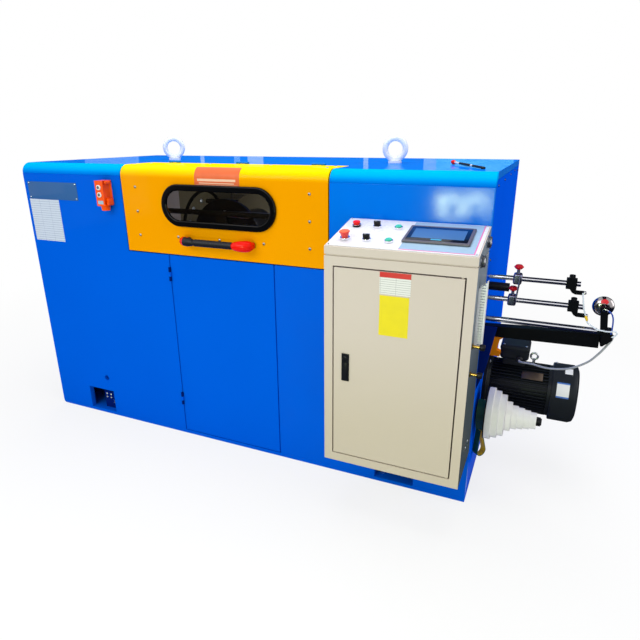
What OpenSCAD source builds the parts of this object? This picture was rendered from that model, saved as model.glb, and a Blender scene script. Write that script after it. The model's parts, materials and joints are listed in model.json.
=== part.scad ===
// Bunching machine for stranding wire: a long closed housing with a lifting window hood,
// a service door, a hung control cabinet with a sloped desk, and drive gear on the right end.
// Millimetres. X runs along the housing, the front faces -Y, Z is up, the floor is Z = 0.

/* [Housing] */
// Length of the housing from end to end
body_l = 2300; // [2260:10:2500]
// Depth of the housing from front to back
body_d = 1030; // [1000:10:1150]
// Height of the housing without the eye bolts
body_h = 1348; // [1330:2:1450]
// Thickness of the base plate
base_t = 18; // [12:1:26]
// Thickness of the lined walls and panels
wall_t = 28; // [22:1:34]
// Depth of the top cover's folded edge
cover_t = 28; // [22:1:34]
// Radius of the long front edge of cover and hood
corner_r = 50; // [42:1:80]
// Width of a bolt pocket in the front panels
pocket_w = 175; // [120:1:200]
// Height of a bolt pocket
pocket_h = 128; // [90:1:150]
// Distance of a bolt pocket's middle from the housing's middle
pocket_x = 840; // [800:1:880]
// Diameter of the sight hole above a pocket
sight_d = 30; // [16:1:40]
// Height of the sight hole
sight_z = 221; // [205:1:232]
// Radius of a levelling bolt
bolt_r = 11; // [8:0.5:14]
// Radius of a levelling bolt's nut over its corners
bolt_nut = 20; // [17:0.5:24]
// Distance of the levelling bolts behind the front face
bolt_in = 45; // [40:1:70]

/* [Take-up] */
// Distance of the partitions from the housing's middle
part_x = 560; // [540:1:600]
// Thickness of a partition
part_t = 12; // [8:1:18]
// Distance of the bobbin's middle from the housing's middle
spool_x = 175; // [140:1:240]
// Drop of the bobbin's axis below the top
spool_drop = 374; // [330:1:420]
// Radius of the bobbin's flanges
bobbin_r = 198; // [170:1:205]
// Length of the bobbin
bobbin_l = 360; // [320:1:390]
// Thickness of a bobbin flange
bobbin_t = 24; // [18:1:30]
// Radius of the bobbin's barrel
hub_r = 110; // [80:1:140]
// Radius of the bobbin's axle
axle_r = 20; // [15:0.5:25]
// Distance of a cradle rail from the middle plane
rail_y = 215; // [210:1:240]
// Height of the cradle rails above the axle
rail_up = 130; // [100:1:150]
// Diameter of a cradle rail
rail_d = 26; // [20:1:32]
// Thickness of a hanger
hanger_t = 12; // [8:1:16]
// Width of a hanger
hanger_w = 60; // [50:1:80]

/* [Hood] */
// Width of the hood
hood_w = 1038; // [960:2:1080]
// Offset of the hood from the housing's middle
hood_x = 8; // [-20:1:20]
// Height of the hood's front from the top down
hood_drop = 395; // [370:1:440]
// Depth of the hood's top
hood_top_d = 226; // [180:1:280]
// Thickness of the hood
hood_t = 20; // [14:1:26]
// Running gap around the hood
hood_gap = 5; // [4:0.5:8]
// Width of the window with its seal
window_w = 582; // [500:2:640]
// Height of the window with its seal
window_h = 186; // [160:2:210]
// Height of the window's middle above the hood's lower edge
window_up = 225; // [205:1:240]
// Width of the rubber seal
seal_w = 28; // [20:1:34]
// Projection of the rubber seal
seal_out = 14; // [8:1:20]
// Overlap of the seal on the hood's face
seal_lap = 9; // [6:1:14]
// Thickness of the window pane
pane_t = 8; // [5:0.5:12]
// Length of the hood handle
handle_l = 384; // [340:2:440]
// Offset of the handle's middle from the hood's middle
handle_x = 0; // [-20:1:30]
// Height of the handle above the hood's lower edge
handle_up = 74; // [60:1:86]
// Diameter of the grip
grip_d = 32; // [26:1:38]
// Distance of the grip's axis from the hood's face
handle_reach = 50; // [42:1:60]
// Length of each handle end
handle_end = 89; // [70:1:110]

/* [Door] */
// Width of the door opening
door_w = 558; // [500:2:620]
// Thickness of the door
door_t = 25; // [18:1:30]
// Running gap around the door
door_gap = 5; // [4:0.5:7]
// Height of the lower hinge's middle
hinge_low = 204; // [160:1:260]
// Drop of the upper hinge's middle below the hood
hinge_drop = 97; // [80:1:160]
// Length of a hinge barrel
barrel_l = 66; // [54:1:80]
// Radius of a hinge barrel
barrel_r = 6; // [5:0.5:8]

/* [Cabinet] */
// Width of the control cabinet
cab_w = 527; // [500:1:560]
// Depth of the control cabinet
cab_d = 265; // [240:1:300]
// Height of the cabinet's underside
cab_z = 248; // [240:1:300]
// Height of the cabinet up to the desk
cab_h = 826; // [790:1:860]
// Wall thickness of the cabinet
cab_t = 15; // [12:1:18]
// Inset of the cabinet's side from the housing's end
cab_inset = 1; // [0:0.5:10]
// Width of the frame beside the cabinet door
cab_stile = 33; // [28:1:44]
// Height of the frame over and under the cabinet door
cab_rail = 34; // [28:1:44]
// Running gap around the cabinet door
cab_gap = 5; // [4:0.5:6]
// Height of the desk's front edge above the cabinet
desk_front = 34; // [28:1:50]
// Height of the desk's back edge above the cabinet
desk_back = 92; // [80:1:110]
// Height of the shadow groove under the desk
groove_h = 5; // [3:0.5:8]
// Depth of the shadow groove
groove_in = 4; // [2:0.5:8]
// Thickness of the desk plate
plate_t = 3; // [2:0.5:5]
// Margin around the desk plate
plate_edge = 5; // [3:0.5:10]
// Width of the flush lock
lock_w = 29; // [24:1:34]
// Height of the flush lock
lock_h = 109; // [90:1:130]
// Height of the lock's middle above the cabinet's underside
lock_up = 411; // [380:1:440]
// Distance of the lock's middle from the cabinet's left side
lock_x = 85; // [75:1:110]
// Projection of the wiring duct from the cabinet's side
duct_w = 26; // [20:1:32]
// Depth of the wiring duct
duct_d = 42; // [30:1:50]
// Length of the wiring duct
duct_l = 226; // [200:1:260]
// Drop of the wiring duct's top below the cabinet's top
duct_drop = 58; // [40:1:80]
// Distance of the wiring duct's front from the housing's front
duct_in = 210; // [190:1:230]
// Diameter of a side plug
side_plug_d = 42; // [34:1:44]
// Length of a side plug
side_plug_l = 14; // [10:1:20]

/* [Controls] */
// Distance of the first control from the cabinet's left side
ctl_x = 55; // [48:1:62]
// Spacing of the controls along the desk
ctl_pitch = 80; // [64:1:84]
// Distance of the front row from the desk's front edge
ctl_front = 64; // [56:1:72]
// Spacing of the two rows
ctl_rows = 125; // [110:1:140]
// Outer radius of a control bezel
bezel_r = 15; // [14:0.5:17]
// Height of a control bezel
bezel_h = 8; // [7:0.5:10]
// Radius of a control's moving plug
plug_r = 11.7; // [10:0.1:12]
// Radial clearance of a moving plug
plug_gap = 0.3; // [0.2:0.05:0.5]
// Travel of a push button
press = 4; // [2:0.5:5]
// Radius of the emergency mushroom
mush_r = 20; // [18:0.5:24]
// Width of the touch panel
hmi_w = 229; // [200:1:245]
// Height of the touch panel along the desk
hmi_h = 145; // [130:1:160]
// Distance of the touch panel from the cabinet's left side
hmi_x = 257; // [250:1:275]
// Distance of the touch panel from the desk's front edge
hmi_s = 68; // [60:1:80]
// Thickness of the touch panel
hmi_t = 9; // [6:0.5:14]

/* [Lifting and pendant] */
// Distance of the left eye bolt from the housing's middle
eye_left = 597; // [560:1:640]
// Distance of the right eye bolt from the housing's middle
eye_right = 644; // [600:1:680]
// Radius of the eye's ring line
eye_ring = 45.5; // [36:0.5:48]
// Radius of the eye's wire
eye_wire = 12.5; // [9:0.5:13]
// Turn of the left eye bolt about its shank
eye_turn_left = 38; // [0:1:90]
// Turn of the right eye bolt about its shank
eye_turn_right = 12; // [0:1:90]
// Width of the pendant station
pend_w = 48; // [42:1:56]
// Depth of the pendant station
pend_d = 55; // [46:1:64]
// Height of the pendant station
pend_h = 115; // [105:1:130]
// Distance of the pendant's middle from the housing's middle
pend_x = 596; // [580:1:680]
// Drop of the pendant's top below the cover
pend_drop = 70; // [66:1:90]

/* [Wire guide] */
// Distance of the guide rods behind the front face
rod_in = 45; // [40:1:60]
// Height of the upper guide rod
rod_z1 = 977; // [970:1:990]
// Height of the middle guide rod
rod_z2 = 896; // [885:1:900]
// Height of the lower guide rod
rod_z3 = 814; // [812:1:820]
// Diameter of the two upper rods
rod_d = 18; // [14:1:20]
// Diameter of the lower rod
rod_d3 = 22; // [18:1:24]
// Length of the upper rod
rod_l1 = 311; // [305:1:340]
// Length of the middle rod
rod_l2 = 331; // [325:1:350]
// Length of the lower rod
rod_l3 = 384; // [340:1:390]
// Clearance of a clamp on its rod
clamp_gap = 0.1; // [0.05:0.05:0.3]
// Outer diameter of the wire inlet tube
inlet_od = 32; // [28:1:34]
// Bore of the wire inlet tube
inlet_id = 16; // [10:1:20]
// Length of the wire inlet tube
inlet_l = 76; // [60:1:90]
// Distance of the wire inlet tube behind the front face
inlet_in = 85; // [84:1:92]
// Height of the wire inlet tube
inlet_z = 930; // [926:1:934]
// Length of the support beam
beam_l = 400; // [396:1:440]
// Depth of the support beam
beam_w = 40; // [30:1:46]
// Distance of the beam's middle behind the front face
beam_in = 85; // [82:1:95]
// Drop of the beam's lower edge at the housing below the lower rod
beam_low = 81; // [76:1:90]
// Drop of the beam's lower edge at its free end
beam_tip_low = 71; // [66:1:78]
// Drop of the beam's upper edge at the housing
beam_top = 39; // [30:1:44]
// Drop of the beam's upper edge at its free end
beam_tip_top = 17; // [14:1:24]
// Width of the gusset
gusset_w = 55; // [45:1:65]
// Drop of the gusset's top below the lower rod
gusset_top = 20; // [16:1:30]
// Height of the gusset
gusset_h = 270; // [240:1:290]
// Thickness of the gusset
gusset_t = 10; // [6:1:14]
// Length of the bracket on the beam's end
foot_l = 34; // [30:1:42]
// Drop of the bracket's lower edge below the lower rod
foot_low = 46; // [40:1:54]
// Thickness of the meter wheel's arm
arm_t = 12; // [8:1:14]
// Distance of the meter wheel's axis before the beam's end
wheel_back = 7; // [0:1:12]
// Height of the meter wheel's axis above the lower rod
wheel_up = 86; // [80:1:100]
// Radius of the meter wheel
wheel_r = 35.5; // [30:0.5:42]
// Width of the meter wheel
wheel_w = 24; // [16:1:28]
// Radius of the meter wheel's pin
wheel_pin = 6; // [4:0.5:8]
// Running clearance of pins in their bores
run_gap = 0.05; // [0.03:0.01:0.09]

/* [Drive] */
// Distance of the motor's axis behind the front face
motor_in = 395; // [392:1:420]
// Height of the motor's axis
motor_z = 398; // [390:1:420]
// Radius of the motor's frame
motor_r = 112; // [100:1:118]
// Radius of the motor's flange
flange_r = 140; // [130:1:146]
// Thickness of the motor's flange
flange_t = 16; // [12:1:20]
// Length of the motor from the housing to the cowl
motor_l = 278; // [250:1:290]
// Radius of the fan cowl
cowl_r = 126; // [118:1:132]
// Length of the fan cowl
cowl_l = 104; // [96:1:120]
// Length of the terminal box along the motor
box_l = 120; // [110:1:124]
// Width of the terminal box
box_w = 120; // [100:1:124]
// Height of the terminal box
box_h = 92; // [80:1:100]
// Distance of the terminal box from the housing
box_in = 54; // [52:1:66]
// Height of the terminal box's pedestal
box_lift = 28; // [20:1:30]
// Step from the terminal box to its pedestal
box_inset = 14; // [8:1:18]
// Distance of the cable gland from the terminal box's inner end
gland_x = 83; // [60:1:90]
// Height of the cable gland above the terminal box's foot
gland_up = 38; // [30:1:46]
// Radius of the cable gland
gland_r = 9; // [7:0.5:12]
// Length of the cable gland
gland_l = 14; // [10:1:20]
// Distance of the tower wheel's axis behind the front face
tower_in = 120; // [116:1:124]
// Height of the tower wheel's axis
tower_z = 379; // [372:1:390]
// Radius of the tower wheel's shaft
shaft_r = 14; // [10:0.5:16]
// Radius of the belt drum
drum_r = 45; // [40:1:60]
// Width of the belt drum
drum_w = 36; // [30:1:40]
// Distance of the belt drum from the housing
drum_x = 4; // [3:0.5:6]
// Thickness of the drum's black end disc
disc_t = 4; // [3:0.5:6]
// Radius of the disc behind the cone
disc_r = 108; // [100:1:112]
// Width of one step of the tower wheel
step_w = 23.8; // [20:0.2:25]
// Thickness of the flat belt
belt_t = 3.5; // [2:0.5:5]
// Radius of the belt's slack lower bend
belt_bend = 8; // [6:1:12]
// Drop of the slack bend below the tower axis
belt_drop = 75; // [66:1:84]
// Radius of the belt's hanging loop
loop_r = 21; // [18:1:24]
// Drop of the hanging loop's middle below the drum's axis
loop_drop = 189; // [180:1:200]
// Width of the belt in the hanging loop
loop_w = 27; // [24:1:28]
// Twist of the hanging loop against the belt
loop_twist = 50; // [40:1:56]
// Clearance between belt and drum
belt_gap = 0.4; // [0.3:0.1:0.8]

/* [Hidden] */
$fn = 48;

// Reference planes of the housing
xr = body_l / 2;
yf = -body_d / 2;
yb = body_d / 2;
seam_z = body_h - corner_r;
hood_x0 = hood_x - hood_w / 2;
hood_x1 = hood_x + hood_w / 2;
hood_z0 = body_h - hood_drop;
hood_yb = yf + hood_top_d;
panel_z = hood_z0 - hood_gap;
win_z = hood_z0 + window_up;
// Hood hinge line, door hinge line
hood_hr = 5;
hood_hy = hood_yb + hood_gap / 2;
hood_hz = body_h + hood_hr;
hood_hinges = [-380, 0, 380];
door_hx = -door_w / 2 + door_gap / 2;
door_hy = yf - barrel_r;
door_hinges = [hinge_low, hood_z0 - hinge_drop];
// Cabinet box, its door and its pins
cx0 = xr - cab_inset - cab_w;
cx1 = xr - cab_inset;
cy0 = yf - cab_d;
cz1 = cab_z + cab_h;
cab_pin = 4;
cab_pin_l = 20;
cdx0 = cx0 + cab_stile + cab_gap;
cdx1 = cx1 - cab_stile - cab_gap;
cdz0 = cab_z + cab_rail + cab_gap;
cdz1 = cz1 - cab_rail - cab_gap;
cpx = cdx1 - cab_t / 2;
cpy = cy0 + cab_t / 2;
slope = atan((desk_back - desk_front) / cab_d);
slope_l = norm([cab_d, desk_back - desk_front]);
ctl_back = ctl_front + ctl_rows;
// Pendant box
px0 = -pend_x - pend_w / 2;
pz1 = body_h - pend_drop;
pend_plug = 11.5;
pend_rows = [30, 63];
// Axes of the wire guide and of the drive
ry = yf + rod_in;
by = yf + beam_in;
my = yf + motor_in;
ty = yf + tower_in;
wheel_x = xr + beam_l - wheel_back;
wheel_z = rod_z3 + wheel_up;
wheel_y = ry + 17;
cone_r = [107, 97, 85, 60, 48, 43, 38, 33];
cone_x = xr + drum_x + drum_w + disc_t;
cone_l = len(cone_r) * step_w;
box_x = xr + box_in;
box_z = motor_z + motor_r + 0.2;
// Take-up
spool = [-spool_x, 0, body_h - spool_drop];
rail_z = spool[2] + rail_up;
// Routes of the cable and of the contact lead
cable_d = 8;
cable_pts = [[1588.2, -452, 800], [1587.6, -450, 781], [1573, -444, 749], [1555, -430, 712], [1529, -400, 665],
  [1482, -362, 617], [1439, -322, 588], [1391, -286, 570], [1340, -250, 563],
  [1304, -228, 555], [1287, -207, 548], [1287, -194.8, 548]];
lead_d = 5;
lead_pts = [[1471, -478.6, 949], [1475, -481.4, 926], [1480, -482.8, 900], [1486, -481.4, 880],
  [1493, -479, 864], [1500, -480, 844], [1511, -486, 838], [1530, -496.5, 829.5],
  [1548, -499, 827.3], [1569, -499.2, 826], [1584, -499.2, 829.5], [1592.5, -499.2, 826.5], [1592.8, -499, 818],
  [1587, -498.9, 811], [1580, -498.7, 807]];
wheel_lead_pts = [[1546, -498.6, 903], [1556, -499, 899.5], [1565, -499.5, 893.5], [1570.5, -499.6, 885.5],
  [1574, -499.5, 875], [1575.8, -499, 862], [1576.8, -497.5, 848], [1577.4, -494, 834],
  [1577.5, -490.5, 822], [1577.5, -489.5, 814.2]];

// Sheet profile in Y and Z with a rounded front top edge
module edge2d(y0, y1, z0, z1, r) {
  translate([y0 + r, z0])
    square([y1 - y0 - r, z1 - z0]);
  intersection() {
    translate([y0, z0])
      square([r + 1, z1 - z0]);
    union() {
      translate([y0, z0 - r])
        square([r + 1, z1 - z0]);
      translate([y0 + r, z1 - r])
        circle(r);
    }
  }
}
module bent2d(y1, z0, t) {
  difference() {
    edge2d(yf, y1, z0, body_h, corner_r);
    edge2d(yf + t, y1 + 1, z0 - 1, body_h - t, corner_r - t);
  }
}
// Extrude a Y-Z drawing along X
module along_x(x0, l) {
  translate([x0, 0, 0])
    rotate([90, 0, 90])
      linear_extrude(l)
        children();
}
// Extrude an X-Z drawing along Y
module along_y(y0, l) {
  translate([0, y0 + l, 0])
    rotate([90, 0, 0])
      linear_extrude(l)
        children();
}
module obround(w, h) {
  square([w - h, h], center = true);
  for (s = [-1, 1])
    translate([s * (w - h) / 2, 0])
      circle(h / 2);
}
module rod_x(x, y, z, d, l) {
  translate([x, y, z])
    rotate([0, 90, 0])
      cylinder(d = d, h = l);
}
module rod_y(x, y, z, r, l) {
  translate([x, y, z])
    rotate([-90, 0, 0])
      cylinder(r = r, h = l);
}
// Place children on the sloped desk: x from the cabinet's left, s up the slope, z off its face
module on_desk(x, s) {
  translate([cx0 + x, cy0, cz1 + desk_front])
    rotate([slope, 0, 0])
      translate([0, s, plate_t])
        children();
}

// Housing
// The base plate is bent up round at the left end
module base_plate() {
  color("royalblue")
    along_y(yf, body_d)
      difference() {
        translate([-xr, 0])
          square([body_l, base_t]);
        difference() {
          translate([-xr - 1, -1])
            square(base_t + 1);
          translate([-xr + base_t, base_t])
            circle(base_t);
        }
      }
}
module end_wall2d() {
  r = corner_r - cover_t;
  c = [yf + corner_r, body_h - corner_r];
  polygon(concat([[yf + wall_t, base_t], [yb, base_t], [yb, body_h - cover_t]],
    [for (a = [90:15:180]) c + max(0.1, min(r, corner_r - wall_t) - 0.4) * [cos(a), sin(a)]]));
}
module left_end_wall() {
  color("royalblue")
    along_x(-xr, wall_t)
      end_wall2d();
}
// The right wall carries the bearing boss of the tower wheel's shaft
module right_end_wall() {
  color("mediumblue")
    difference() {
      union() {
        along_x(xr - wall_t, wall_t)
          end_wall2d();
        rod_x(xr - wall_t - 30, ty, tower_z, 4 * shaft_r, 32);
      }
      rod_x(xr - wall_t - 40, ty, tower_z, 2 * (shaft_r + run_gap), wall_t + 60);
    }
}
module back_wall() {
  color("royalblue")
    translate([-xr + wall_t, yb - wall_t, base_t])
      cube([body_l - 2 * wall_t, wall_t, body_h - cover_t - base_t]);
}
// Front panel drawn for the right side, hx is the hood's edge on that side
module panel2d(hx) {
  difference() {
    polygon([[door_w / 2, base_t], [xr, base_t], [xr, seam_z], [hx + hood_gap, seam_z],
      [hx + hood_gap, panel_z], [door_w / 2, panel_z]]);
    translate([pocket_x - pocket_w / 2, base_t - 1])
      square([pocket_w, pocket_h + 1]);
    translate([pocket_x - 54, sight_z])
      circle(d = sight_d);
  }
}
module front_panel_left() {
  color("dodgerblue")
    along_y(yf, wall_t)
      mirror([1, 0])
        panel2d(-hood_x0);
}
module front_panel_right() {
  color("dodgerblue")
    along_y(yf, wall_t)
      panel2d(hood_x1);
}
module top_cover_left() {
  color("dodgerblue")
    along_x(-xr, xr + hood_x0 - hood_gap)
      bent2d(yb, seam_z, cover_t);
}
module top_cover_right() {
  color("dodgerblue")
    along_x(hood_x1 + hood_gap, xr - hood_x1 - hood_gap)
      bent2d(yb, seam_z, cover_t);
}
module top_cover_rear() {
  color("dodgerblue")
    translate([hood_x0 - hood_gap, hood_yb + hood_gap, body_h - cover_t])
      cube([hood_w + 2 * hood_gap, yb - hood_yb - hood_gap, cover_t]);
}
// Lined partitions beside the winding chamber
module chamber_walls() {
  color("darkkhaki")
    for (s = [-1, 1])
      translate([s * part_x - (s < 0 ? part_t : 0), yf + wall_t, base_t])
        cube([part_t, body_d - 2 * wall_t, body_h - max(cover_t, corner_r) - base_t]);
}
// Two rails with hangers and the axle that carries the take-up bobbin
module cradle() {
  color("dimgray") {
    for (s = [-1, 1]) {
      rod_x(-part_x, s * rail_y, rail_z, rail_d, 2 * part_x);
      translate([spool[0] - hanger_w / 2, s * rail_y - hanger_t / 2, spool[2] - hanger_w / 2])
        cube([hanger_w, hanger_t, rail_up + hanger_w / 2]);
    }
    rod_y(spool[0], -rail_y, spool[2], axle_r, 2 * rail_y);
  }
}
module bobbin() {
  color("black")
    translate(spool)
      rotate([90, 0, 0])
        difference() {
          union() {
            for (z = [-bobbin_l / 2, bobbin_l / 2 - bobbin_t])
              translate([0, 0, z])
                cylinder(r = bobbin_r, h = bobbin_t, $fn = 96);
            cylinder(r = hub_r, h = bobbin_l - bobbin_t, center = true);
          }
          cylinder(r = axle_r + run_gap, h = bobbin_l + 40, center = true);
        }
}
module eye_bolt(x, turn) {
  translate([x, 0, body_h]) {
    cylinder(r = 31, h = 10);
    cylinder(r = 18, h = 16);
    translate([0, 0, eye_ring + eye_wire + 4])
      rotate([90, 0, turn])
        rotate_extrude()
          translate([eye_ring, 0])
            circle(eye_wire);
  }
}
module eye_bolts() {
  color("gainsboro") {
    eye_bolt(-eye_left, eye_turn_left);
    eye_bolt(eye_right, eye_turn_right);
  }
}
module levelling_bolts() {
  color("silver")
    for (s = [-1, 1])
      translate([s * (pocket_x - 62), yf + bolt_in, base_t]) {
        cylinder(r = bolt_r, h = pocket_h - 28);
        translate([0, 0, 34])
          cylinder(r = bolt_nut, h = bolt_nut, $fn = 6);
      }
}

// Hinges: the fixed pair of barrels with its pin, and the turning barrel, drawn along Z.
// The leaf reaches from the barrel into the gap, on the side given by s, and a turning
// leaf is let into its door or hood by sink.
module barrel_leaf(s, r, l, gap, deep, sink) {
  translate([s > 0 ? 0.4 : -gap / 2, r * 0.7, -l / 2])
    cube([gap / 2 - 0.4 + sink, deep, l]);
}
module fixed_barrels(r, l, gap, deep) {
  for (s = [-1, 1])
    translate([0, 0, s * l / 3]) {
      cylinder(r = r, h = l / 3, center = true);
      barrel_leaf(-1, r, l / 3, gap, deep, 0);
    }
  cylinder(r = r / 2, h = l, center = true);
}
module turning_barrel(r, l, gap, deep) {
  difference() {
    union() {
      cylinder(r = r, h = l / 3 - 0.6, center = true);
      barrel_leaf(1, r, l / 3 - 0.6, gap, deep, 1);
    }
    cylinder(r = r / 2 + run_gap, h = l, center = true);
  }
}
// The hood's barrels lie along X with their leaves pointing down
module at_hood_hinge(dx) {
  translate([hood_x + dx, hood_hy, hood_hz])
    rotate([-90, 0, -90])
      children();
}
module hinge_barrels() {
  color("steelblue") {
    for (z = door_hinges)
      translate([door_hx, door_hy, z])
        fixed_barrels(barrel_r, barrel_l, door_gap, barrel_r + 8);
    for (dx = hood_hinges)
      at_hood_hinge(dx)
        mirror([0, 0, 1])
          fixed_barrels(hood_hr, barrel_l, hood_gap, hood_hr + 8);
  }
}

// Hood with window and handle
module hood_shell() {
  color("orange") {
    difference() {
      along_x(hood_x0, hood_w)
        bent2d(hood_yb, hood_z0, hood_t);
      along_y(yf - 1, hood_t + 2)
        translate([hood_x, win_z])
          obround(window_w - 2 * seal_lap, window_h - 2 * seal_lap);
    }
    for (dx = hood_hinges)
      at_hood_hinge(dx)
        turning_barrel(hood_hr, barrel_l, hood_gap, hood_hr + 8);
  }
}
module window_seal() {
  color("black")
    along_y(yf - seal_out, seal_out)
      translate([hood_x, win_z])
        difference() {
          obround(window_w, window_h);
          obround(window_w - 2 * seal_w, window_h - 2 * seal_w);
        }
}
module window_pane() {
  color("gray")
    along_y(yf, pane_t)
      translate([hood_x, win_z])
        obround(window_w - 2 * seal_lap - 1, window_h - 2 * seal_lap - 1);
}
module hood_handle() {
  z = hood_z0 + handle_up;
  l = handle_l - 2 * handle_end;
  color("black")
    rod_x(hood_x + handle_x - l / 2, yf - handle_reach, z, grip_d, l);
  color("red")
    for (s = [-1, 1])
      translate([hood_x + handle_x, yf, z])
        hull() {
          translate([s * l / 2, -handle_reach, 0])
            rotate([0, s * 90, 0])
              cylinder(d1 = grip_d, d2 = grip_d + 16, h = handle_end - 20, $fn = 32);
          translate([s * handle_l / 2 - (s > 0 ? 40 : 0), -4, -18])
            cube([40, 4, 36]);
        }
}
module front_door() {
  color("dodgerblue") {
    translate([-door_w / 2 + door_gap, yf, base_t + door_gap])
      cube([door_w - 2 * door_gap, door_t, panel_z - base_t - door_gap]);
    for (z = door_hinges)
      translate([door_hx, door_hy, z])
        turning_barrel(barrel_r, barrel_l, door_gap, barrel_r + 8);
  }
}

// Control cabinet
module cabinet_shell() {
  color("wheat") {
    difference() {
      translate([cx0, cy0, cab_z])
        cube([cab_w, cab_d, cab_h]);
      translate([cx0 + cab_t, cy0 + cab_t, cab_z + cab_t])
        cube([cab_w - 2 * cab_t, cab_d - 2 * cab_t, cab_h - 2 * cab_t]);
      translate([cx0 + cab_stile, cy0 - 1, cab_z + cab_rail])
        cube([cab_w - 2 * cab_stile, cab_t + 2, cab_h - 2 * cab_rail]);
    }
    translate([cpx, cpy, cab_z + cab_rail - 1])
      cylinder(r = cab_pin, h = cab_gap + cab_pin_l + 1);
    translate([cpx, cpy, cdz1 - cab_pin_l])
      cylinder(r = cab_pin, h = cab_gap + cab_pin_l + 1);
  }
}
module cabinet_door() {
  color("wheat")
    difference() {
      translate([cdx0, cy0, cdz0])
        cube([cdx1 - cdx0, cab_t, cdz1 - cdz0]);
      for (z = [cdz0 - 1, cdz1 - cab_pin_l - 1])
        translate([cpx, cpy, z])
          cylinder(r = cab_pin + run_gap, h = cab_pin_l + 2);
    }
}
module cabinet_lock() {
  color("black")
    translate([cx0 + lock_x - lock_w / 2, cy0 - 4, cab_z + lock_up - lock_h / 2])
      cube([lock_w, 4, lock_h]);
}
// Sloped desk over a shadow groove
module desk() {
  color("wheat") {
    along_x(cx0, cab_w)
      polygon([[cy0, cz1 + groove_h], [yf, cz1 + groove_h], [yf, cz1 + desk_back],
        [cy0, cz1 + desk_front]]);
    translate([cx0 + groove_in, cy0 + groove_in, cz1])
      cube([cab_w - 2 * groove_in, cab_d - groove_in, groove_h + 1]);
  }
}
module desk_plate() {
  color("white")
    on_desk(plate_edge, plate_edge)
      translate([0, 0, -plate_t])
        cube([cab_w - 2 * plate_edge, slope_l - 2 * plate_edge, plate_t]);
}
module touch_panel() {
  color("gray")
    on_desk(hmi_x, hmi_s)
      cube([hmi_w, hmi_h, hmi_t]);
}
// Control positions: column 0 to 2, front row or back row
module at_control(col, s) {
  on_desk(ctl_x + col * ctl_pitch, s)
    children();
}
module control_bezels() {
  color("silver")
    for (col = [0:2])
      for (s = [ctl_front, ctl_back])
        at_control(col, s)
          difference() {
            cylinder(r = bezel_r + (col == 0 && s == ctl_front ? 3 : 0), h = bezel_h);
            translate([0, 0, -1])
              cylinder(r = plug_r + plug_gap, h = bezel_h + 2);
          }
}
module push_plug() {
  translate([0, 0, press + plug_gap])
    cylinder(r = plug_r, h = bezel_h);
}
module turn_plug() {
  translate([0, 0, plug_gap])
    cylinder(r = plug_r, h = bezel_h + 3);
  translate([-plug_r, -4.5, bezel_h + 3])
    cube([2 * plug_r, 9, 13]);
}
module stop_button() {
  color("red")
    at_control(0, ctl_back)
      push_plug();
}
module start_button() {
  color("green")
    at_control(2, ctl_back)
      push_plug();
}
module jog_button() {
  color("green")
    at_control(2, ctl_front)
      push_plug();
}
module emergency_button() {
  color("red")
    at_control(0, ctl_front) {
      translate([0, 0, press + plug_gap])
        cylinder(r = plug_r, h = bezel_h + 4);
      translate([0, 0, bezel_h + press + 1.5])
        cylinder(r1 = plug_r + 2, r2 = mush_r - 4, h = 10);
      translate([0, 0, bezel_h + press + 11.5])
        cylinder(r1 = mush_r - 4, r2 = mush_r, h = 4);
      translate([0, 0, bezel_h + press + 15.5])
        cylinder(r1 = mush_r, r2 = mush_r - 3, h = 3);
    }
}
module selector_left() {
  color("black")
    at_control(1, ctl_back)
      turn_plug();
}
module selector_right() {
  color("black")
    at_control(1, ctl_front)
      turn_plug();
}
module wiring_duct() {
  color("lightgray")
    translate([cx1, yf - duct_in, cz1 - duct_drop - duct_l])
      cube([duct_w, duct_d, duct_l]);
}
module side_plugs() {
  color("dimgray") {
    rod_x(cx1, yf - 85, cz1 + 52, side_plug_d, side_plug_l);
    rod_x(cx1, yf - 213, cz1 + 12, side_plug_d, side_plug_l);
  }
}

// Two-button pendant on the front panel
module pendant_station() {
  color("orangered") {
    difference() {
      translate([px0, yf - pend_d, pz1 - pend_h])
        cube([pend_w, pend_d, pend_h]);
      for (d = pend_rows)
        rod_y(-pend_x, yf - pend_d - 1, pz1 - d, pend_plug + plug_gap, 11);
    }
    translate([-pend_x, yf - pend_d / 2, pz1 - pend_h - 22])
      cylinder(r1 = 19, r2 = 21, h = 22);
  }
}
module pendant_plug(d) {
  color("white")
    rod_y(-pend_x, yf - pend_d - 6, pz1 - d, pend_plug, 10);
}
module pendant_button_upper() {
  pendant_plug(pend_rows[0]);
}
module pendant_button_lower() {
  pendant_plug(pend_rows[1]);
}

// Wire guide on the right end
module guide_rods() {
  color("silver") {
    rod_x(xr, ry, rod_z1, rod_d, rod_l1);
    rod_x(xr, ry, rod_z2, rod_d, rod_l2);
    rod_x(xr, ry, rod_z3, rod_d3, rod_l3);
  }
}
module rod_clamp(x, z) {
  translate([xr + x, ry, z]) {
    difference() {
      translate([-15, -18, -20])
        cube([30, 36, 40]);
      translate([-20, 0, 0])
        rotate([0, 90, 0])
          cylinder(d = rod_d + 2 * clamp_gap, h = 40);
    }
    translate([0, 0, 16])
      cylinder(r = 4, h = 22);
    translate([0, 0, 36])
      cylinder(r = 10, h = 14);
  }
}
module rod_clamps() {
  color("black") {
    rod_clamp(103, rod_z1);
    rod_clamp(92, rod_z2);
  }
}
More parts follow.
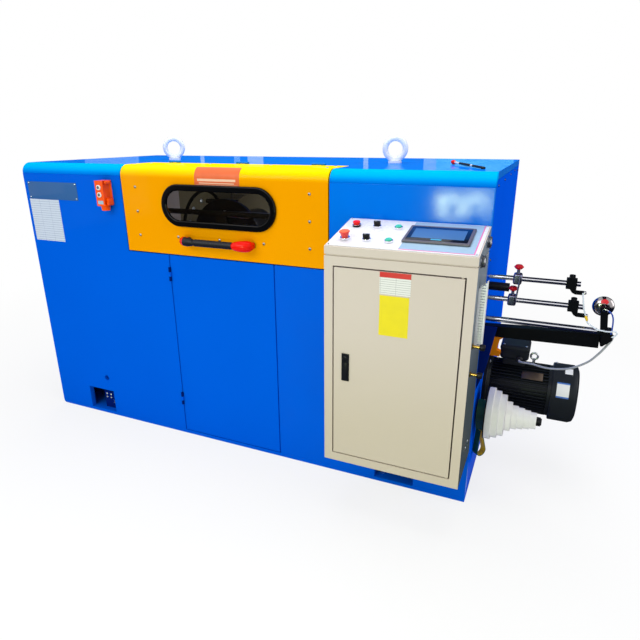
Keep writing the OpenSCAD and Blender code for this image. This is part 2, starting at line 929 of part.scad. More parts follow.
// End clamp with a bent arm that carries a contact eyelet
module eyelet_arm(x, z) {
  translate([xr + x, ry, z]) {
    difference() {
      translate([-17, -14, -18])
        cube([34, 28, 36]);
      translate([-20, 0, 0])
        rotate([0, 90, 0])
          cylinder(d = rod_d + 2 * clamp_gap, h = 40);
    }
    translate([0, 0, 17])
      cylinder(r = 9, h = 14);
    along_y(-6, 12)
      polygon([[-6, -17], [14, -17], [19, -24], [44, -24], [44, -37], [15, -37], [5, -32]]);
  }
}
module eyelet_arms() {
  color("black") {
    eyelet_arm(281, rod_z1);
    eyelet_arm(297, rod_z2);
  }
}
module inlet_tube() {
  color("black")
    difference() {
      rod_x(xr, yf + inlet_in, inlet_z, inlet_od, inlet_l);
      rod_x(xr + 4, yf + inlet_in, inlet_z, inlet_id, inlet_l);
    }
}
module support_beam() {
  color("black")
    along_y(by - beam_w / 2, beam_w)
      polygon([[xr, rod_z3 - beam_low], [xr + beam_l, rod_z3 - beam_tip_low],
        [xr + beam_l, rod_z3 - beam_tip_top], [xr, rod_z3 - beam_top]]);
}
module beam_gusset() {
  color("mediumblue")
    along_y(yf + 2, gusset_t)
      translate([xr, rod_z3 - gusset_top])
        polygon([[0, 0], [gusset_w, 0], [gusset_w * 0.9, -gusset_h * 0.12],
          [gusset_w * 0.55, -gusset_h * 0.6], [0, -gusset_h]]);
}
// Bracket on the beam's end with the arm and the pin of the meter wheel
module wheel_arm() {
  color("black") {
    along_y(ry - 26, by + beam_w / 2 - ry + 26)
      translate([xr + beam_l, rod_z3])
        polygon([[0, -foot_low], [foot_l / 5, -foot_low], [foot_l, -foot_low * 0.45],
          [foot_l, 0], [0, 0]]);
    along_y(ry - 26, arm_t)
      polygon([[xr + beam_l - 6, rod_z3 - 4], [xr + beam_l + 16, rod_z3 - 4],
        [wheel_x + 12, wheel_z + 10], [wheel_x - 12, wheel_z + 10]]);
    rod_y(wheel_x, ry - 20, wheel_z, wheel_pin, wheel_y + wheel_w / 2 - ry + 22);
  }
}
module meter_wheel() {
  color("silver")
    translate([wheel_x, wheel_y - wheel_w / 2, wheel_z])
      rotate([-90, 0, 0])
        difference() {
          union() {
            cylinder(r1 = wheel_r - 12, r2 = wheel_r, h = wheel_w * 0.4);
            translate([0, 0, wheel_w * 0.4])
              cylinder(r = wheel_r, h = wheel_w * 0.6);
          }
          translate([0, 0, -1])
            cylinder(r = wheel_pin + run_gap, h = wheel_w + 2);
        }
}

// Motor flanged to the right end
module motor_body() {
  color("darkslategray") {
    rod_x(xr, my, motor_z, 2 * flange_r, flange_t);
    rod_x(xr + flange_t - 1, my, motor_z, 2 * motor_r, motor_l - flange_t + 1);
  }
}
module motor_cowl() {
  color("darkslategray")
    translate([xr + motor_l, my, motor_z])
      rotate([0, 90, 0])
        rotate_extrude()
          polygon([[0, 0], [cowl_r, 0], [cowl_r, cowl_l - 22], [cowl_r - 7, cowl_l - 6],
            [cowl_r - 22, cowl_l], [0, cowl_l]]);
}
// Terminal box on the motor, with the cable gland on its front
module terminal_box() {
  color("darkslategray") {
    translate([box_x, my - box_w / 2, box_z + box_lift])
      cube([box_l, box_w, box_h - box_lift]);
    translate([box_x + box_inset, my - box_w / 2 + box_inset, box_z])
      cube([box_l - 2 * box_inset, box_w - 2 * box_inset, box_lift + 1]);
    rod_y(box_x + gland_x, my - box_w / 2 - gland_l, box_z + gland_up, gland_r, gland_l + 1);
  }
}
module orange_bracket() {
  color("darkorange")
    along_y(my - 130, 30)
      polygon([[xr, motor_z + 285], [xr + 74, motor_z + 285], [xr + 74, motor_z + 270],
        [xr + 52, motor_z + 252], [xr + 44, motor_z + 205], [xr + 60, motor_z + 198],
        [xr + 58, motor_z + 176], [xr, motor_z + 176]]);
}
// Tower wheel, belt drum and shaft turn together
module stepped_cone() {
  color("white")
    difference() {
      for (i = [0:len(cone_r) - 1])
        rod_x(cone_x, ty, tower_z, 2 * cone_r[i], (i + 1) * step_w);
      rod_x(cone_x - 1, ty, tower_z, 2 * shaft_r + 0.2, cone_l + 2);
    }
}
module belt_drum() {
  color("darkgreen") {
    rod_x(xr - wall_t - 30, ty, tower_z, 2 * shaft_r, wall_t + 30 + cone_x - xr + cone_l + 20);
    rod_x(xr + drum_x, ty, tower_z, 2 * drum_r, drum_w);
    rod_x(xr + drum_x + drum_w - 1, ty, tower_z, 2 * disc_r, disc_t + 1);
    rod_x(cone_x + cone_l, ty, tower_z, 2 * shaft_r + 8, 16);
  }
}
module belt2d(g) {
  hull() {
    translate([ty, tower_z])
      circle(drum_r + belt_gap + g, $fn = 72);
    translate([ty, tower_z - belt_drop])
      circle(belt_bend + g, $fn = 72);
  }
}
// The spare length hangs as a twisted loop under the drum
module belt_loop2d(g) {
  hull() {
    translate([xr + drum_x + drum_w * 0.44, tower_z - belt_drop - belt_bend - 7])
      circle(3 + g, $fn = 32);
    translate([xr + drum_x + drum_w * 0.75, tower_z - loop_drop])
      circle(loop_r + g, $fn = 72);
  }
}
module flat_belt() {
  color("darkgreen") {
    along_x(xr + drum_x + 1, drum_w - 4)
      difference() {
        belt2d(belt_t);
        belt2d(0);
      }
    translate([xr + drum_x + drum_w * 0.44, ty, 0])
      rotate([0, 0, loop_twist])
        translate([-xr - drum_x - drum_w * 0.44, 0, 0])
          along_y(-loop_w / 2, loop_w)
            difference() {
              belt_loop2d(belt_t);
              belt_loop2d(0);
            }
  }
}

// Round cords swept along their points
function unit(v) = v / norm(v);
function heading(p, i) = unit(p[min(i + 1, len(p) - 1)] - p[max(i - 1, 0)]);
function curve(a, b, c, d, t) = 0.5 * (2 * b + (c - a) * t + (2 * a - 5 * b + 4 * c - d) * t * t
  + (3 * b - a - 3 * c + d) * t * t * t);
function smooth(p, n) = concat([for (i = [0:len(p) - 2]) for (k = [0:n - 1])
  curve(p[max(i - 1, 0)], p[i], p[i + 1], p[min(i + 2, len(p) - 1)], k / n)], [p[len(p) - 1]]);
function ring(p, i, r, n, ref) = let (t = heading(p, i), s = unit(cross(t, ref)), u = cross(s, t))
  [for (k = [0:n - 1]) p[i] + r * (cos(360 * k / n) * s + sin(360 * k / n) * u)];
module cord(p, d, n, ref) {
  m = len(p);
  polyhedron(points = [for (i = [0:m - 1]) each ring(p, i, d / 2, n, ref)],
    faces = concat([[for (k = [0:n - 1]) k]], [[for (k = [n - 1:-1:0]) (m - 1) * n + k]],
      [for (i = [0:m - 2]) for (k = [0:n - 1]) each [
        [i * n + k, (i + 1) * n + k, (i + 1) * n + (k + 1) % n],
        [i * n + k, (i + 1) * n + (k + 1) % n, i * n + (k + 1) % n]]]));
}
module motor_cable() {
  color("gray")
    cord(smooth(cable_pts, 4), cable_d, 10, [1, 0, 0]);
}
module contact_lead() {
  color("white")
    cord(smooth(lead_pts, 4), lead_d, 8, [0, 1, 0]);
}
module wheel_lead() {
  color("blue")
    cord(smooth(wheel_lead_pts, 4), lead_d, 8, [0, 1, 0]);
}

base_plate();
left_end_wall();
right_end_wall();
back_wall();
front_panel_left();
front_panel_right();
top_cover_left();
top_cover_right();
top_cover_rear();
chamber_walls();
cradle();
bobbin();
eye_bolts();
levelling_bolts();
hinge_barrels();
cabinet_shell();
desk();
desk_plate();
touch_panel();
control_bezels();
wiring_duct();
side_plugs();
pendant_station();
guide_rods();
rod_clamps();
eyelet_arms();
inlet_tube();
support_beam();
beam_gusset();
wheel_arm();
motor_body();
motor_cowl();
terminal_box();
orange_bracket();
flat_belt();
motor_cable();
contact_lead();
wheel_lead();
hood_shell();
window_seal();
window_pane();
hood_handle();
front_door();
cabinet_door();
cabinet_lock();
stepped_cone();
belt_drum();
meter_wheel();
stop_button();
start_button();
jog_button();
emergency_button();
selector_left();
selector_right();
pendant_button_upper();
pendant_button_lower();
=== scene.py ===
# %% [markdown]
# # A bunching machine in Blender
# A bunching machine twists thin wires into one strand inside a long lined housing. The CAD model already holds each
# solid at its true size. This lesson dresses those solids: it rounds their edges, adds the small parts, and gives each
# surface the finish of the real machine. All is in metres in one frame: X runs along the housing, the operator stands
# on the -Y side, and Z is up.

# %% Load the frame
import json
import math
import bmesh
import bpy
from mathutils import Matrix, Vector

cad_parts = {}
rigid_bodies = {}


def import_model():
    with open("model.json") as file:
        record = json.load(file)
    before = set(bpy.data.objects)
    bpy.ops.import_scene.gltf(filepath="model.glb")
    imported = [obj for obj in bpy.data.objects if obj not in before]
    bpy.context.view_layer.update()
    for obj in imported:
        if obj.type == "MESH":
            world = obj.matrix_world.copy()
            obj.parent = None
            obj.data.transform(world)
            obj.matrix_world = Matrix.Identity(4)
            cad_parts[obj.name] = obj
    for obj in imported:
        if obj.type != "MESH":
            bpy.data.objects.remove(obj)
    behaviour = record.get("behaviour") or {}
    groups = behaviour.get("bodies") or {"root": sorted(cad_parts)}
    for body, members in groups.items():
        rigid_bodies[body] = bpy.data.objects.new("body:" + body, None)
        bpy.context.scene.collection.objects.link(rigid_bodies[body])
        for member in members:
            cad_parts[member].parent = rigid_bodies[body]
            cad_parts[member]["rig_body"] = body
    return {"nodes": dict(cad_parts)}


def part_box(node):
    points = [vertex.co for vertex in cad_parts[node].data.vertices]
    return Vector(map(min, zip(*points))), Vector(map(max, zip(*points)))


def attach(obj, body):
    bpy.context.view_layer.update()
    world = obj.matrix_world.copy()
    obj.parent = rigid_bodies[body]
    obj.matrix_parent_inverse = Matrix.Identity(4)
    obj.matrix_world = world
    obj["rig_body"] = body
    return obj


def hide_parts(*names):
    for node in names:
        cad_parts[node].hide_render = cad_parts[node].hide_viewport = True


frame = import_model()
nodes = frame["nodes"]
scene = bpy.context.scene
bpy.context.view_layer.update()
RIGHT, TO_FRONT, UP = (1, 0, 0), (0, -1, 0), (0, 0, 1)


def put(name, data):
    """A new object, linked to the scene."""
    obj = bpy.data.objects.new(name, data)
    scene.collection.objects.link(obj)
    return obj


# %% [markdown]
# ## Camera
# The camera stands in front of the right end and looks down to the left. Its place, turn and focal length were solved
# from the housing's straight edges. One matrix says it: a turn about Z, a tilt about X and a small roll.

# %% Camera
camera_data = bpy.data.cameras.new("camera")
camera_data.lens = 29.796
camera_data.sensor_width = 36.0
camera_data.clip_end = 60.0
camera = put("camera", camera_data)
YAW, PITCH, ROLL = (math.radians(a) for a in (23.626, 19.3068, -0.3312))
camera.matrix_world = (Matrix.Translation((1.34115, -2.46145, 1.47346)) @ Matrix.Rotation(YAW, 4, "Z")
                       @ Matrix.Rotation(math.pi / 2 - PITCH, 4, "X") @ Matrix.Rotation(ROLL, 4, "Z"))
scene.camera = camera
print("camera at", [round(v, 3) for v in camera.location])

# %% [markdown]
# ## Finishes as small programs
# A finish is a node tree, and wiring it by hand is slow. `Value` wraps one socket and turns Python's + - * < into Math
# nodes. `Finish` makes the material, and its `node` method adds any node, settings first and inputs after. The other
# methods are short names for nodes that come up often.

# %% Value and Finish
def sums(operation):
    return lambda self, other: self.finish.calc("Math", operation, self, other)


class Value:
    """One socket of a node tree that can stand in a sum."""

    def __init__(self, finish, socket):
        self.finish, self.socket = finish, socket

    __add__ = __radd__ = sums("ADD")
    __mul__ = __rmul__ = sums("MULTIPLY")
    __sub__ = sums("SUBTRACT")
    __lt__ = sums("LESS_THAN")


class Finish:
    """A material, the record's slot that it belongs to, and the tree that paints it."""

    def __init__(self, name, slot, **constants):
        self.slot = slot
        self.material = bpy.data.materials.new(name)
        self.material.use_nodes = True
        self.tree = self.material.node_tree
        self.shader = self.tree.nodes["Principled BSDF"]
        self.set(**constants)

    def node(self, kind, settings=None, inputs=None, output=0):
        node = self.tree.nodes.new("ShaderNode" + kind)
        for key, value in (settings or {}).items():
            setattr(node, key, value)
        for key, value in (inputs or {}).items():
            self.feed(node.inputs[key], value)
        return Value(self, node.outputs[output])

    def calc(self, kind, operation, *values, output=0):
        return self.node(kind, {"operation": operation}, dict(enumerate(values)), output)

    def feed(self, socket, value):
        if isinstance(value, Value):
            self.tree.links.new(value.socket, socket)
        else:
            socket.default_value = value

    def set(self, **sockets):
        for key, value in sockets.items():
            self.feed(self.shader.inputs[key.replace("_", " ")], value)

    def here(self):
        return self.node("TexCoord", output="Object")

    def axis(self, k):
        """One coordinate of the place: 0 for X, 1 for Y and 2 for Z."""
        return self.node("SeparateXYZ", {}, {0: self.here()}, output=k)

    def ease(self, value, start, end, low=0.0, high=1.0):
        """A smooth climb from low to high while the value goes from start to end."""
        return self.node("MapRange", {"interpolation_type": "SMOOTHSTEP"},
                         dict(enumerate((value, start, end, low, high))))

    def stretched(self, scale):
        return self.node("Mapping", {}, {"Vector": self.here(), "Scale": scale})

    def noise(self, scale, detail=3.0, rough=0.5, where=None):
        return self.node("TexNoise", {}, {"Vector": where or self.here(), "Scale": scale, "Detail": detail,
                                          "Roughness": rough})

    def mix(self, factor, a, b):
        return self.node("Mix", {"data_type": "RGBA"}, {0: factor, 6: a, 7: b}, output=2)

    def bump(self, height, strength, distance):
        return self.node("Bump", {}, {"Height": height, "Strength": strength, "Distance": distance})


def rgba(r, g, b):
    return (r, g, b, 1.0)


def srgb(r, g, b):
    """A colour read as screen values, made linear."""
    return rgba(*[(c / 255 / 12.92) if c < 10.3 else ((c / 255 + 0.055) / 1.055) ** 2.4 for c in (r, g, b)])


print("finish classes are ready")

# %% [markdown]
# ## Paint
# Sprayed enamel is never quite even: its tone drifts over a panel, it has a faint orange-peel ripple a couple of
# millimetres wide, and handling leaves dull patches. Three noises of those sizes drive colour, bump and roughness.
# `top` blends in another tone by height, and `flat` by depth, where it also keeps the coat. On several paints below the
# `top` tone is painted light or painted shade. Colours are screen values.

# %% Painted metal
def enamel(name, slot, colour, deep, rough=0.24, peel=0.05, level=0.0, coat=0.12, top=None, haze=0.07, flat=None,
           cloud=1.6):
    f = Finish(name, slot, Specular_IOR_Level=level, Coat_Roughness=haze)
    smear = f.noise(9.0, 4.0, 0.6)
    tone = f.mix(f.noise(1.7, 2.0), srgb(*colour), srgb(*deep))
    weight = coat + cloud * coat * (smear - 0.5)
    if top:
        tone = f.mix(f.ease(f.axis(2), top[0], top[1]), tone, srgb(*top[2]))
    if flat:
        level_part = f.ease(f.axis(1), flat[0], flat[1])
        tone = f.mix(level_part, tone, srgb(*flat[2]))
        weight = weight * level_part
    f.set(Base_Color=tone, Roughness=rough + 0.14 * (smear - 0.5), Coat_Weight=weight,
          Normal=f.bump(f.noise(420.0, 2.0), peel, 0.0006))
    return f


blue = enamel("housing_blue", "blue_paint", (0, 95, 225), (0, 90, 217), coat=0.05)
# Right front panel: the `top` tone paints its upper part a lighter blue, a painted sheen of light.
panel_blue_painted_sheen = enamel("panel_blue_painted_sheen", "blue_paint", (0, 95, 225), (0, 90, 217), coat=0.3, haze=0.1, peel=0.2, cloud=3.6,
                    top=(0.95, 1.22, (0, 114, 232)))
# Covers: `top` paints the front bend pale cyan, a painted reflection on the bend; `flat` brings the flat top back to
# blue.
cover_blue_painted_bend_light = enamel("cover_blue_painted_bend_light", "blue_paint", (0, 118, 230), (0, 112, 224), coat=0.34, haze=0.04,
                    top=(1.298, 1.332, (0, 168, 246)), flat=(-0.474, -0.452, (0, 116, 228)))
navy = enamel("drive_end_blue", "navy_paint", (0, 90, 236), (0, 84, 228), coat=0.04)
# A dark copy of the blue paint, painted shade: for the gusset, the door's hinge barrels and the pocket tab.
blue_in_painted_shade = enamel("pocket_blue_painted_shade", "navy_paint", (4, 30, 110), (3, 26, 98), 0.4)
# Hood: `top` paints its upper bend a lighter lemon yellow, painted light falling on it from above.
yellow = enamel("hood_yellow_painted_top_light", "yellow_paint", (243, 160, 0), (239, 153, 0), top=(1.29, 1.335, (255, 214, 0)))
beige = enamel("cabinet_beige", "beige_paint", (201, 189, 173), (195, 183, 166), 0.42, 0.25, coat=0.3,
               top=(0.35, 0.95, (208, 196, 188)))
# Cabinet's right side: the beige paint given as grey-blue, darker towards the bottom: painted shade and reflection.
beige_side_painted_shade = enamel("cabinet_side", "beige_paint", (76, 86, 90), (70, 79, 84), 0.42, 0.25, coat=0.15,
                    top=(0.55, 1.06, (132, 142, 152)))
olive = enamel("chamber_olive", "olive_lining", (150, 140, 110), (128, 118, 90), 0.55, 0.3)
# A dark copy of the olive lining for the cradle: painted shade inside the chamber.
olive_in_painted_shade = enamel("olive_in_painted_shade", "olive_lining", (62, 58, 47), (48, 44, 36), 0.55, 0.3)
graphite = enamel("motor_graphite", "motor_paint", (32, 36, 42), (25, 28, 34), 0.42, 0.25, 0.1, coat=0.08)
beam_black = enamel("beam_black", "motor_paint", (12, 13, 19), (8, 9, 14), 0.45, 0.2, 0.05, coat=0.03)
amber = enamel("bracket_orange", "orange_paint", (240, 140, 8), (222, 120, 4), 0.35, coat=0.3)
# Eye bolts: zinc given as near-white non-metal paint, so their white is a painted sheen of light.
eye_white_painted_sheen = enamel("eye_bolt_white_painted_sheen", "steel", (244, 246, 249), (230, 235, 241), 0.3, level=0.5, coat=0.2)
plate_blue = enamel("blank_plate", "steel", (66, 108, 164), (46, 90, 148), 0.35, coat=0.2)
print("paints made")

# %% [markdown]
# ## Metal
# Bright metal is told from grey paint by what it mirrors, so it needs Metallic at 1 and a low roughness. Drawn parts
# carry fine scratches along one way: a noise stretched along that way gives them.

# %% Metals
def metal(name, slot, colour, deep, rough, grain=(60, 60, 60), depth=0.04):
    f = Finish(name, slot, Metallic=1.0)
    lines = f.noise(6.0, 4.0, 0.6, f.stretched(grain))
    f.set(Base_Color=f.mix(f.noise(14.0, 3.0), srgb(*colour), srgb(*deep)), Roughness=rough + 0.16 * (lines - 0.5),
          Normal=f.bump(lines, depth, 0.0004))
    return f


zinc = metal("zinc_plate", "steel", (226, 230, 234), (196, 204, 212), 0.3)
steel = metal("machined_steel", "steel", (186, 188, 192), (160, 162, 168), 0.32)
chrome = metal("rod_chrome", "chrome", (238, 238, 244), (216, 217, 226), 0.1, (2, 90, 90), 0.01)
polished = metal("wheel_polish", "chrome", (176, 170, 170), (150, 144, 146), 0.16, (90, 90, 90), 0.03)
bright = metal("bright_steel", "chrome", (226, 226, 230), (206, 207, 214), 0.12)
clamp_steel = metal("clamp_steel", "chrome", (140, 141, 172), (104, 105, 136), 0.22)
dark_chrome = metal("clamp_chrome", "chrome", (110, 110, 122), (74, 74, 88), 0.16)
brass = metal("brass_bolt", "steel", (216, 178, 96), (190, 150, 72), 0.28)
plate_tin = metal("motor_plate_tin", "steel", (132, 116, 102), (96, 84, 76), 0.36, (4, 140, 140), 0.05)
print("metals made")

# %% [markdown]
# ## Plastics, rubber and glass
# Moulded plastic has one even colour, a soft highlight and a fine grain. The window is smoked sheet: a low Alpha lets
# most of the light through, and its face still mirrors a little of the room.

# %% Plastics, rubber and glass
def moulded(name, slot, colour, rough=0.35, grain=0.12, scale=900.0, level=0.5):
    f = Finish(name, slot, Specular_IOR_Level=level)
    tone = f.noise(26.0, 3.0)
    fresh = srgb(*colour)
    worn = rgba(*(0.86 * c for c in fresh[:3]))
    f.set(Base_Color=f.mix(tone, fresh, worn), Roughness=rough + 0.12 * (tone - 0.5),
          Normal=f.bump(f.noise(scale, 2.0), grain, 0.0004))
    return f


black = moulded("moulded_black", "black_plastic", (22, 22, 28), 0.36, 0.15, level=0.22)
grip_black = moulded("grip_black", "black_plastic", (26, 26, 34), 0.42, 0.3, 500.0, level=0.3)
rubber = moulded("seal_rubber", "rubber_black", (7, 7, 9), 0.2, 0.05, level=0.18)
red = moulded("knob_red", "red_plastic", (244, 22, 6), 0.22, 0.03, level=0.2)
dark_red = moulded("wing_red", "red_plastic", (190, 10, 26), 0.25, 0.03, level=0.25)
mushroom_red = moulded("mushroom_red", "red_plastic", (226, 62, 58), 0.35, 0.05)
mint = moulded("lens_green", "green_plastic", (64, 196, 168), 0.25, 0.03)
orange = moulded("pendant_orange", "orange_plastic", (255, 88, 0), 0.22, 0.04, level=0.25)
white = moulded("button_white", "white_nylon", (236, 236, 234), 0.35, 0.05)
plate_white = moulded("desk_sheet_white", "white_plate", (232, 232, 240), 0.28, 0.04, 300.0, level=0.25)
film_blue = moulded("desk_film_blue", "white_plate", (162, 190, 214), 0.22, 0.04, 300.0, level=0.25)
film_pink = moulded("film_edge_pink", "white_plate", (232, 120, 178), 0.35, 0.04)
bezel_grey = moulded("bezel_taupe", "black_plastic", (94, 90, 102), 0.35, 0.2)
screen_rim = moulded("screen_rim", "black_plastic", (18, 26, 46), 0.12, 0.01)
duct_grey = moulded("duct_grey", "grey_plastic", (252, 254, 255), 0.4, 0.1)
cord_grey = moulded("cord_grey", "grey_cord", (168, 170, 178), 0.4, 0.1)
cord_white = moulded("cord_white", "white_cord", (214, 222, 240), 0.35, 0.1)
cord_blue = moulded("cord_blue", "blue_cord", (28, 70, 176), 0.35, 0.1)
belt_green = moulded("belt_green", "belt_green", (10, 84, 62), 0.55, 0.6, 700.0)
belt_yellow = moulded("belt_yellow", "belt_green", (226, 190, 20), 0.5, 0.4, 700.0)
sticker_yellow = moulded("sticker_yellow", "white_plate", (242, 222, 10), 0.3, 0.02)
sticker_white = moulded("sticker_white", "white_plate", (232, 232, 232), 0.32, 0.02)
sticker_red = moulded("sticker_red", "red_plastic", (214, 24, 36), 0.32, 0.02)
sticker_salmon = moulded("sticker_salmon", "orange_plastic", (233, 112, 66), 0.3, 0.02, level=0.2)
sticker_pale = moulded("sticker_pale", "white_plate", (250, 206, 178), 0.35, 0.02, level=0.2)
sticker_blue = moulded("sticker_blue", "white_plate", (60, 110, 190), 0.3, 0.02)
tab_cyan = moulded("tab_cyan", "white_plate", (70, 170, 214), 0.3, 0.02)
crimp_yellow = moulded("crimp_yellow", "orange_plastic", (232, 190, 10), 0.35, 0.05)
# Near-black for openings: painted shade in the wheel's hole and in the cowl's grille slots.
painted_hole_shade = moulded("painted_hole_shade", "black_plastic", (6, 6, 8), 0.8, 0.1)

pane = Finish("smoked_pane", "pane", Base_Color=srgb(20, 18, 16), Specular_IOR_Level=0.12, Alpha=0.2)
pane.set(Roughness=0.03 + 0.05 * pane.noise(5.0))

screen = Finish("screen_face", "black_plastic", Specular_IOR_Level=0.06)
sheen = screen.noise(3.0, 1.0)
screen.set(Base_Color=screen.mix(sheen, srgb(74, 116, 172), srgb(56, 96, 150)), Roughness=0.2 + 0.06 * sheen)
print("plastics, rubber and glass made")

# %% [markdown]
# ## Turned nylon
# The stepped cone is turned on a lathe, so each face carries rings about its axis, which runs along X. The distance
# from that axis, fed to a sine, draws them.

# %% Turned nylon
DRUM = Vector((0, -0.395, 0.379))
nylon = Finish("turned_nylon", "white_nylon", Specular_IOR_Level=0.4)
off_axis = nylon.calc("VectorMath", "SUBTRACT", nylon.here(), DRUM)
across = nylon.calc("VectorMath", "MULTIPLY", off_axis, (0, 1, 1))
radius = nylon.calc("VectorMath", "LENGTH", across, output=1)
rings = nylon.calc("Math", "SINE", radius * 5200.0)
dirt = nylon.noise(16.0, 4.0, 0.6)
nylon.set(Base_Color=nylon.mix(dirt, srgb(244, 242, 242), srgb(222, 219, 218)), Roughness=0.4 + 0.1 * (dirt - 0.5),
          Normal=nylon.bump(rings, 0.06, 0.0004))
print("nylon made")

# %% [markdown]
# ## From bmesh to a piece
# Every part goes the same way: shape it in a bmesh, write that to a mesh, give it its finish, and hang it on the CAD
# body that it moves with. `piece` does the last steps: smooth shading with a limit angle keeps rounds soft and corners
# crisp, and the Weighted Normal modifier keeps big flats flat. `made` starts from a list of shapes, and `softened` from
# a copy of a CAD node with its hard edges bevelled. `paint` sorts the faces of one mesh between two finishes.

# %% Piece helpers
def mesh_of(name, bm, finishes):
    mesh = bpy.data.meshes.new(name)
    bm.to_mesh(mesh)
    bm.free()
    for f in finishes:
        mesh.materials.append(f.material)
    return mesh


def piece(name, bm, finish, body="machine", stands_for=None, place=None, smooth=38, weighted=False):
    finishes = finish if isinstance(finish, list) else [finish]
    if place is not None:
        bmesh.ops.transform(bm, matrix=place, verts=bm.verts[:])
    bm.normal_update()
    mesh = mesh_of(name, bm, finishes)
    mesh.shade_smooth()
    mesh.set_sharp_from_angle(angle=math.radians(smooth))
    obj = put(name, mesh)
    if weighted:
        obj.modifiers.new("flat faces", "WEIGHTED_NORMAL").keep_sharp = True
    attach(obj, body)
    if stands_for:
        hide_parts(stands_for)


def made(name, finish, *shapes, **ways):
    """A piece from shapes, each given as one of the shape helpers below and its measures."""
    bm = bmesh.new()
    for shape, *measures in shapes:
        shape(bm, *measures)
    piece(name, bm, finish, **ways)


def cad_copy(node):
    bm = bmesh.new()
    bm.from_mesh(nodes[node].data)
    bmesh.ops.remove_doubles(bm, verts=bm.verts[:], dist=2e-5)
    bmesh.ops.dissolve_limit(bm, angle_limit=math.radians(0.6), verts=bm.verts[:], edges=bm.edges[:])
    return bm


def bevelled(bm, edges, width, segments):
    return bmesh.ops.bevel(bm, geom=edges, offset=width, offset_type="OFFSET", affect="EDGES", segments=segments,
                           profile=0.5, material=-1, clamp_overlap=True)["verts"]


def bevel_hard(bm, width, segments):
    hard = [e for e in bm.edges if len(e.link_faces) == 2 and e.calc_face_angle(0.0) > math.radians(32)]
    bevelled(bm, hard, width, segments)


def paint(bm, sort):
    bm.normal_update()
    for face in bm.faces:
        face.material_index = int(sort(face.calc_center_median(), face.normal))


def softened(node, width, finish, segments=2, sort=None):
    """A copy of a CAD node with its hard edges rounded, which stands for the node."""
    bm = cad_copy(node)
    if width:
        bevel_hard(bm, width, segments)
    if sort:
        paint(bm, sort)
    piece(node + "_skin", bm, finish, nodes[node]["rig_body"], node, weighted=bool(width))


print("helpers ready")

# %% [markdown]
# ## Four small shapes
# Most hardware is a rounded block, a round bar, a turned part or a screw. `bmesh.ops.spin` works like a lathe: it turns
# a chain of edges once about an axis and merges the seam. The doubles on the axis are then joined. Profiles and screws
# are in millimetres, as on a workshop drawing.

# %% Shape helpers
def block(bm, low, high, round_by=0.0, segments=2):
    low, high = Vector(low), Vector(high)
    verts = bmesh.ops.create_cube(bm, size=1.0)["verts"]
    bmesh.ops.scale(bm, verts=verts, vec=high - low)
    bmesh.ops.translate(bm, verts=verts, vec=(low + high) / 2)
    if round_by:
        verts = bevelled(bm, list({e for v in verts for e in v.link_edges}), round_by, segments)
    return verts


def bar(bm, start, end, radius, sides=16):
    start, end = Vector(start), Vector(end)
    verts = bmesh.ops.create_cone(bm, cap_ends=True, segments=sides, radius1=radius, radius2=radius,
                                  depth=(end - start).length)["verts"]
    turn = (end - start).to_track_quat("Z", "Y").to_matrix().to_4x4()
    bmesh.ops.transform(bm, matrix=Matrix.Translation((start + end) / 2) @ turn, verts=verts)


def turned(bm, profile, origin, axis, sides=28):
    """The (radius, height) corners of a profile, in millimetres, spun once about an axis."""
    origin, axis = Vector(origin), Vector(axis).normalized()
    out = axis.orthogonal().normalized()
    chain = [bm.verts.new(origin + out * (r / 1000) + axis * (h / 1000)) for r, h in profile]
    edges = [bm.edges.new(pair) for pair in zip(chain, chain[1:])]
    bmesh.ops.spin(bm, geom=chain + edges, cent=origin, axis=axis, angle=2 * math.pi, steps=sides, use_merge=True)
    bmesh.ops.remove_doubles(bm, verts=bm.verts[:], dist=1e-6)
    bmesh.ops.recalc_face_normals(bm, faces=bm.faces[:])


def screw(bm, place, way, radius):
    """A pan head with a socket in it."""
    shape = ((0, -0.1), (1, -0.1), (0.98, 0.28), (0.72, 0.52), (0.36, 0.56), (0.28, 0.3), (0, 0.3))
    turned(bm, [(radius * r, radius * h) for r, h in shape], place, way, 10)


def screw_row(name, places, way, radius, finish, body="machine"):
    made(name, finish, *[(screw, place, way, radius) for place in places], body=body)


def on_circle(x, y, z, radius, angles):
    """Places on a circle that looks along X."""
    return [(x, y + radius * math.cos(a), z + radius * math.sin(a)) for a in angles]


def spun_sheet(bm, geom, centre, degrees, steps, thickness, sort=None):
    """An edge swept back about an axis along X, as a sheet that follows a bend."""
    bmesh.ops.spin(bm, geom=geom, cent=centre, axis=RIGHT, angle=-math.radians(degrees), steps=steps)
    bmesh.ops.recalc_face_normals(bm, faces=bm.faces[:])
    if sort:
        paint(bm, sort)
    bmesh.ops.solidify(bm, geom=bm.faces[:], thickness=thickness)


print("shapes ready")

# %% [markdown]
# ## Cords first
# Three cords hang on the drive end: the grey cable from the beam's bracket to the motor's terminal box, the white lead
# that joins the two contact eyelets and ends on the bracket, and the blue lead from the wheel's pin to that bracket.
# Each has a fixed length, so its route is settled before any looks: corner points in millimetres, the same as those of
# the CAD tube, with the same smooth curve through them. A bevelled curve is round, even and has its own centre line.

# %% Cords
def smooth_route(points, steps=4):
    """Points on the curve through the corner points, as the CAD tube has them."""
    route = []
    for i in range(len(points) - 1):
        a, b, c, d = (Vector(points[max(0, min(len(points) - 1, k))]) for k in (i - 1, i, i + 1, i + 2))
        for k in range(steps):
            t = k / steps
            route.append(0.5 * (2 * b + (c - a) * t + (2 * a - 5 * b + 4 * c - d) * t ** 2
                                + (3 * b - a - 3 * c + d) * t ** 3))
    return route + [Vector(points[-1])]


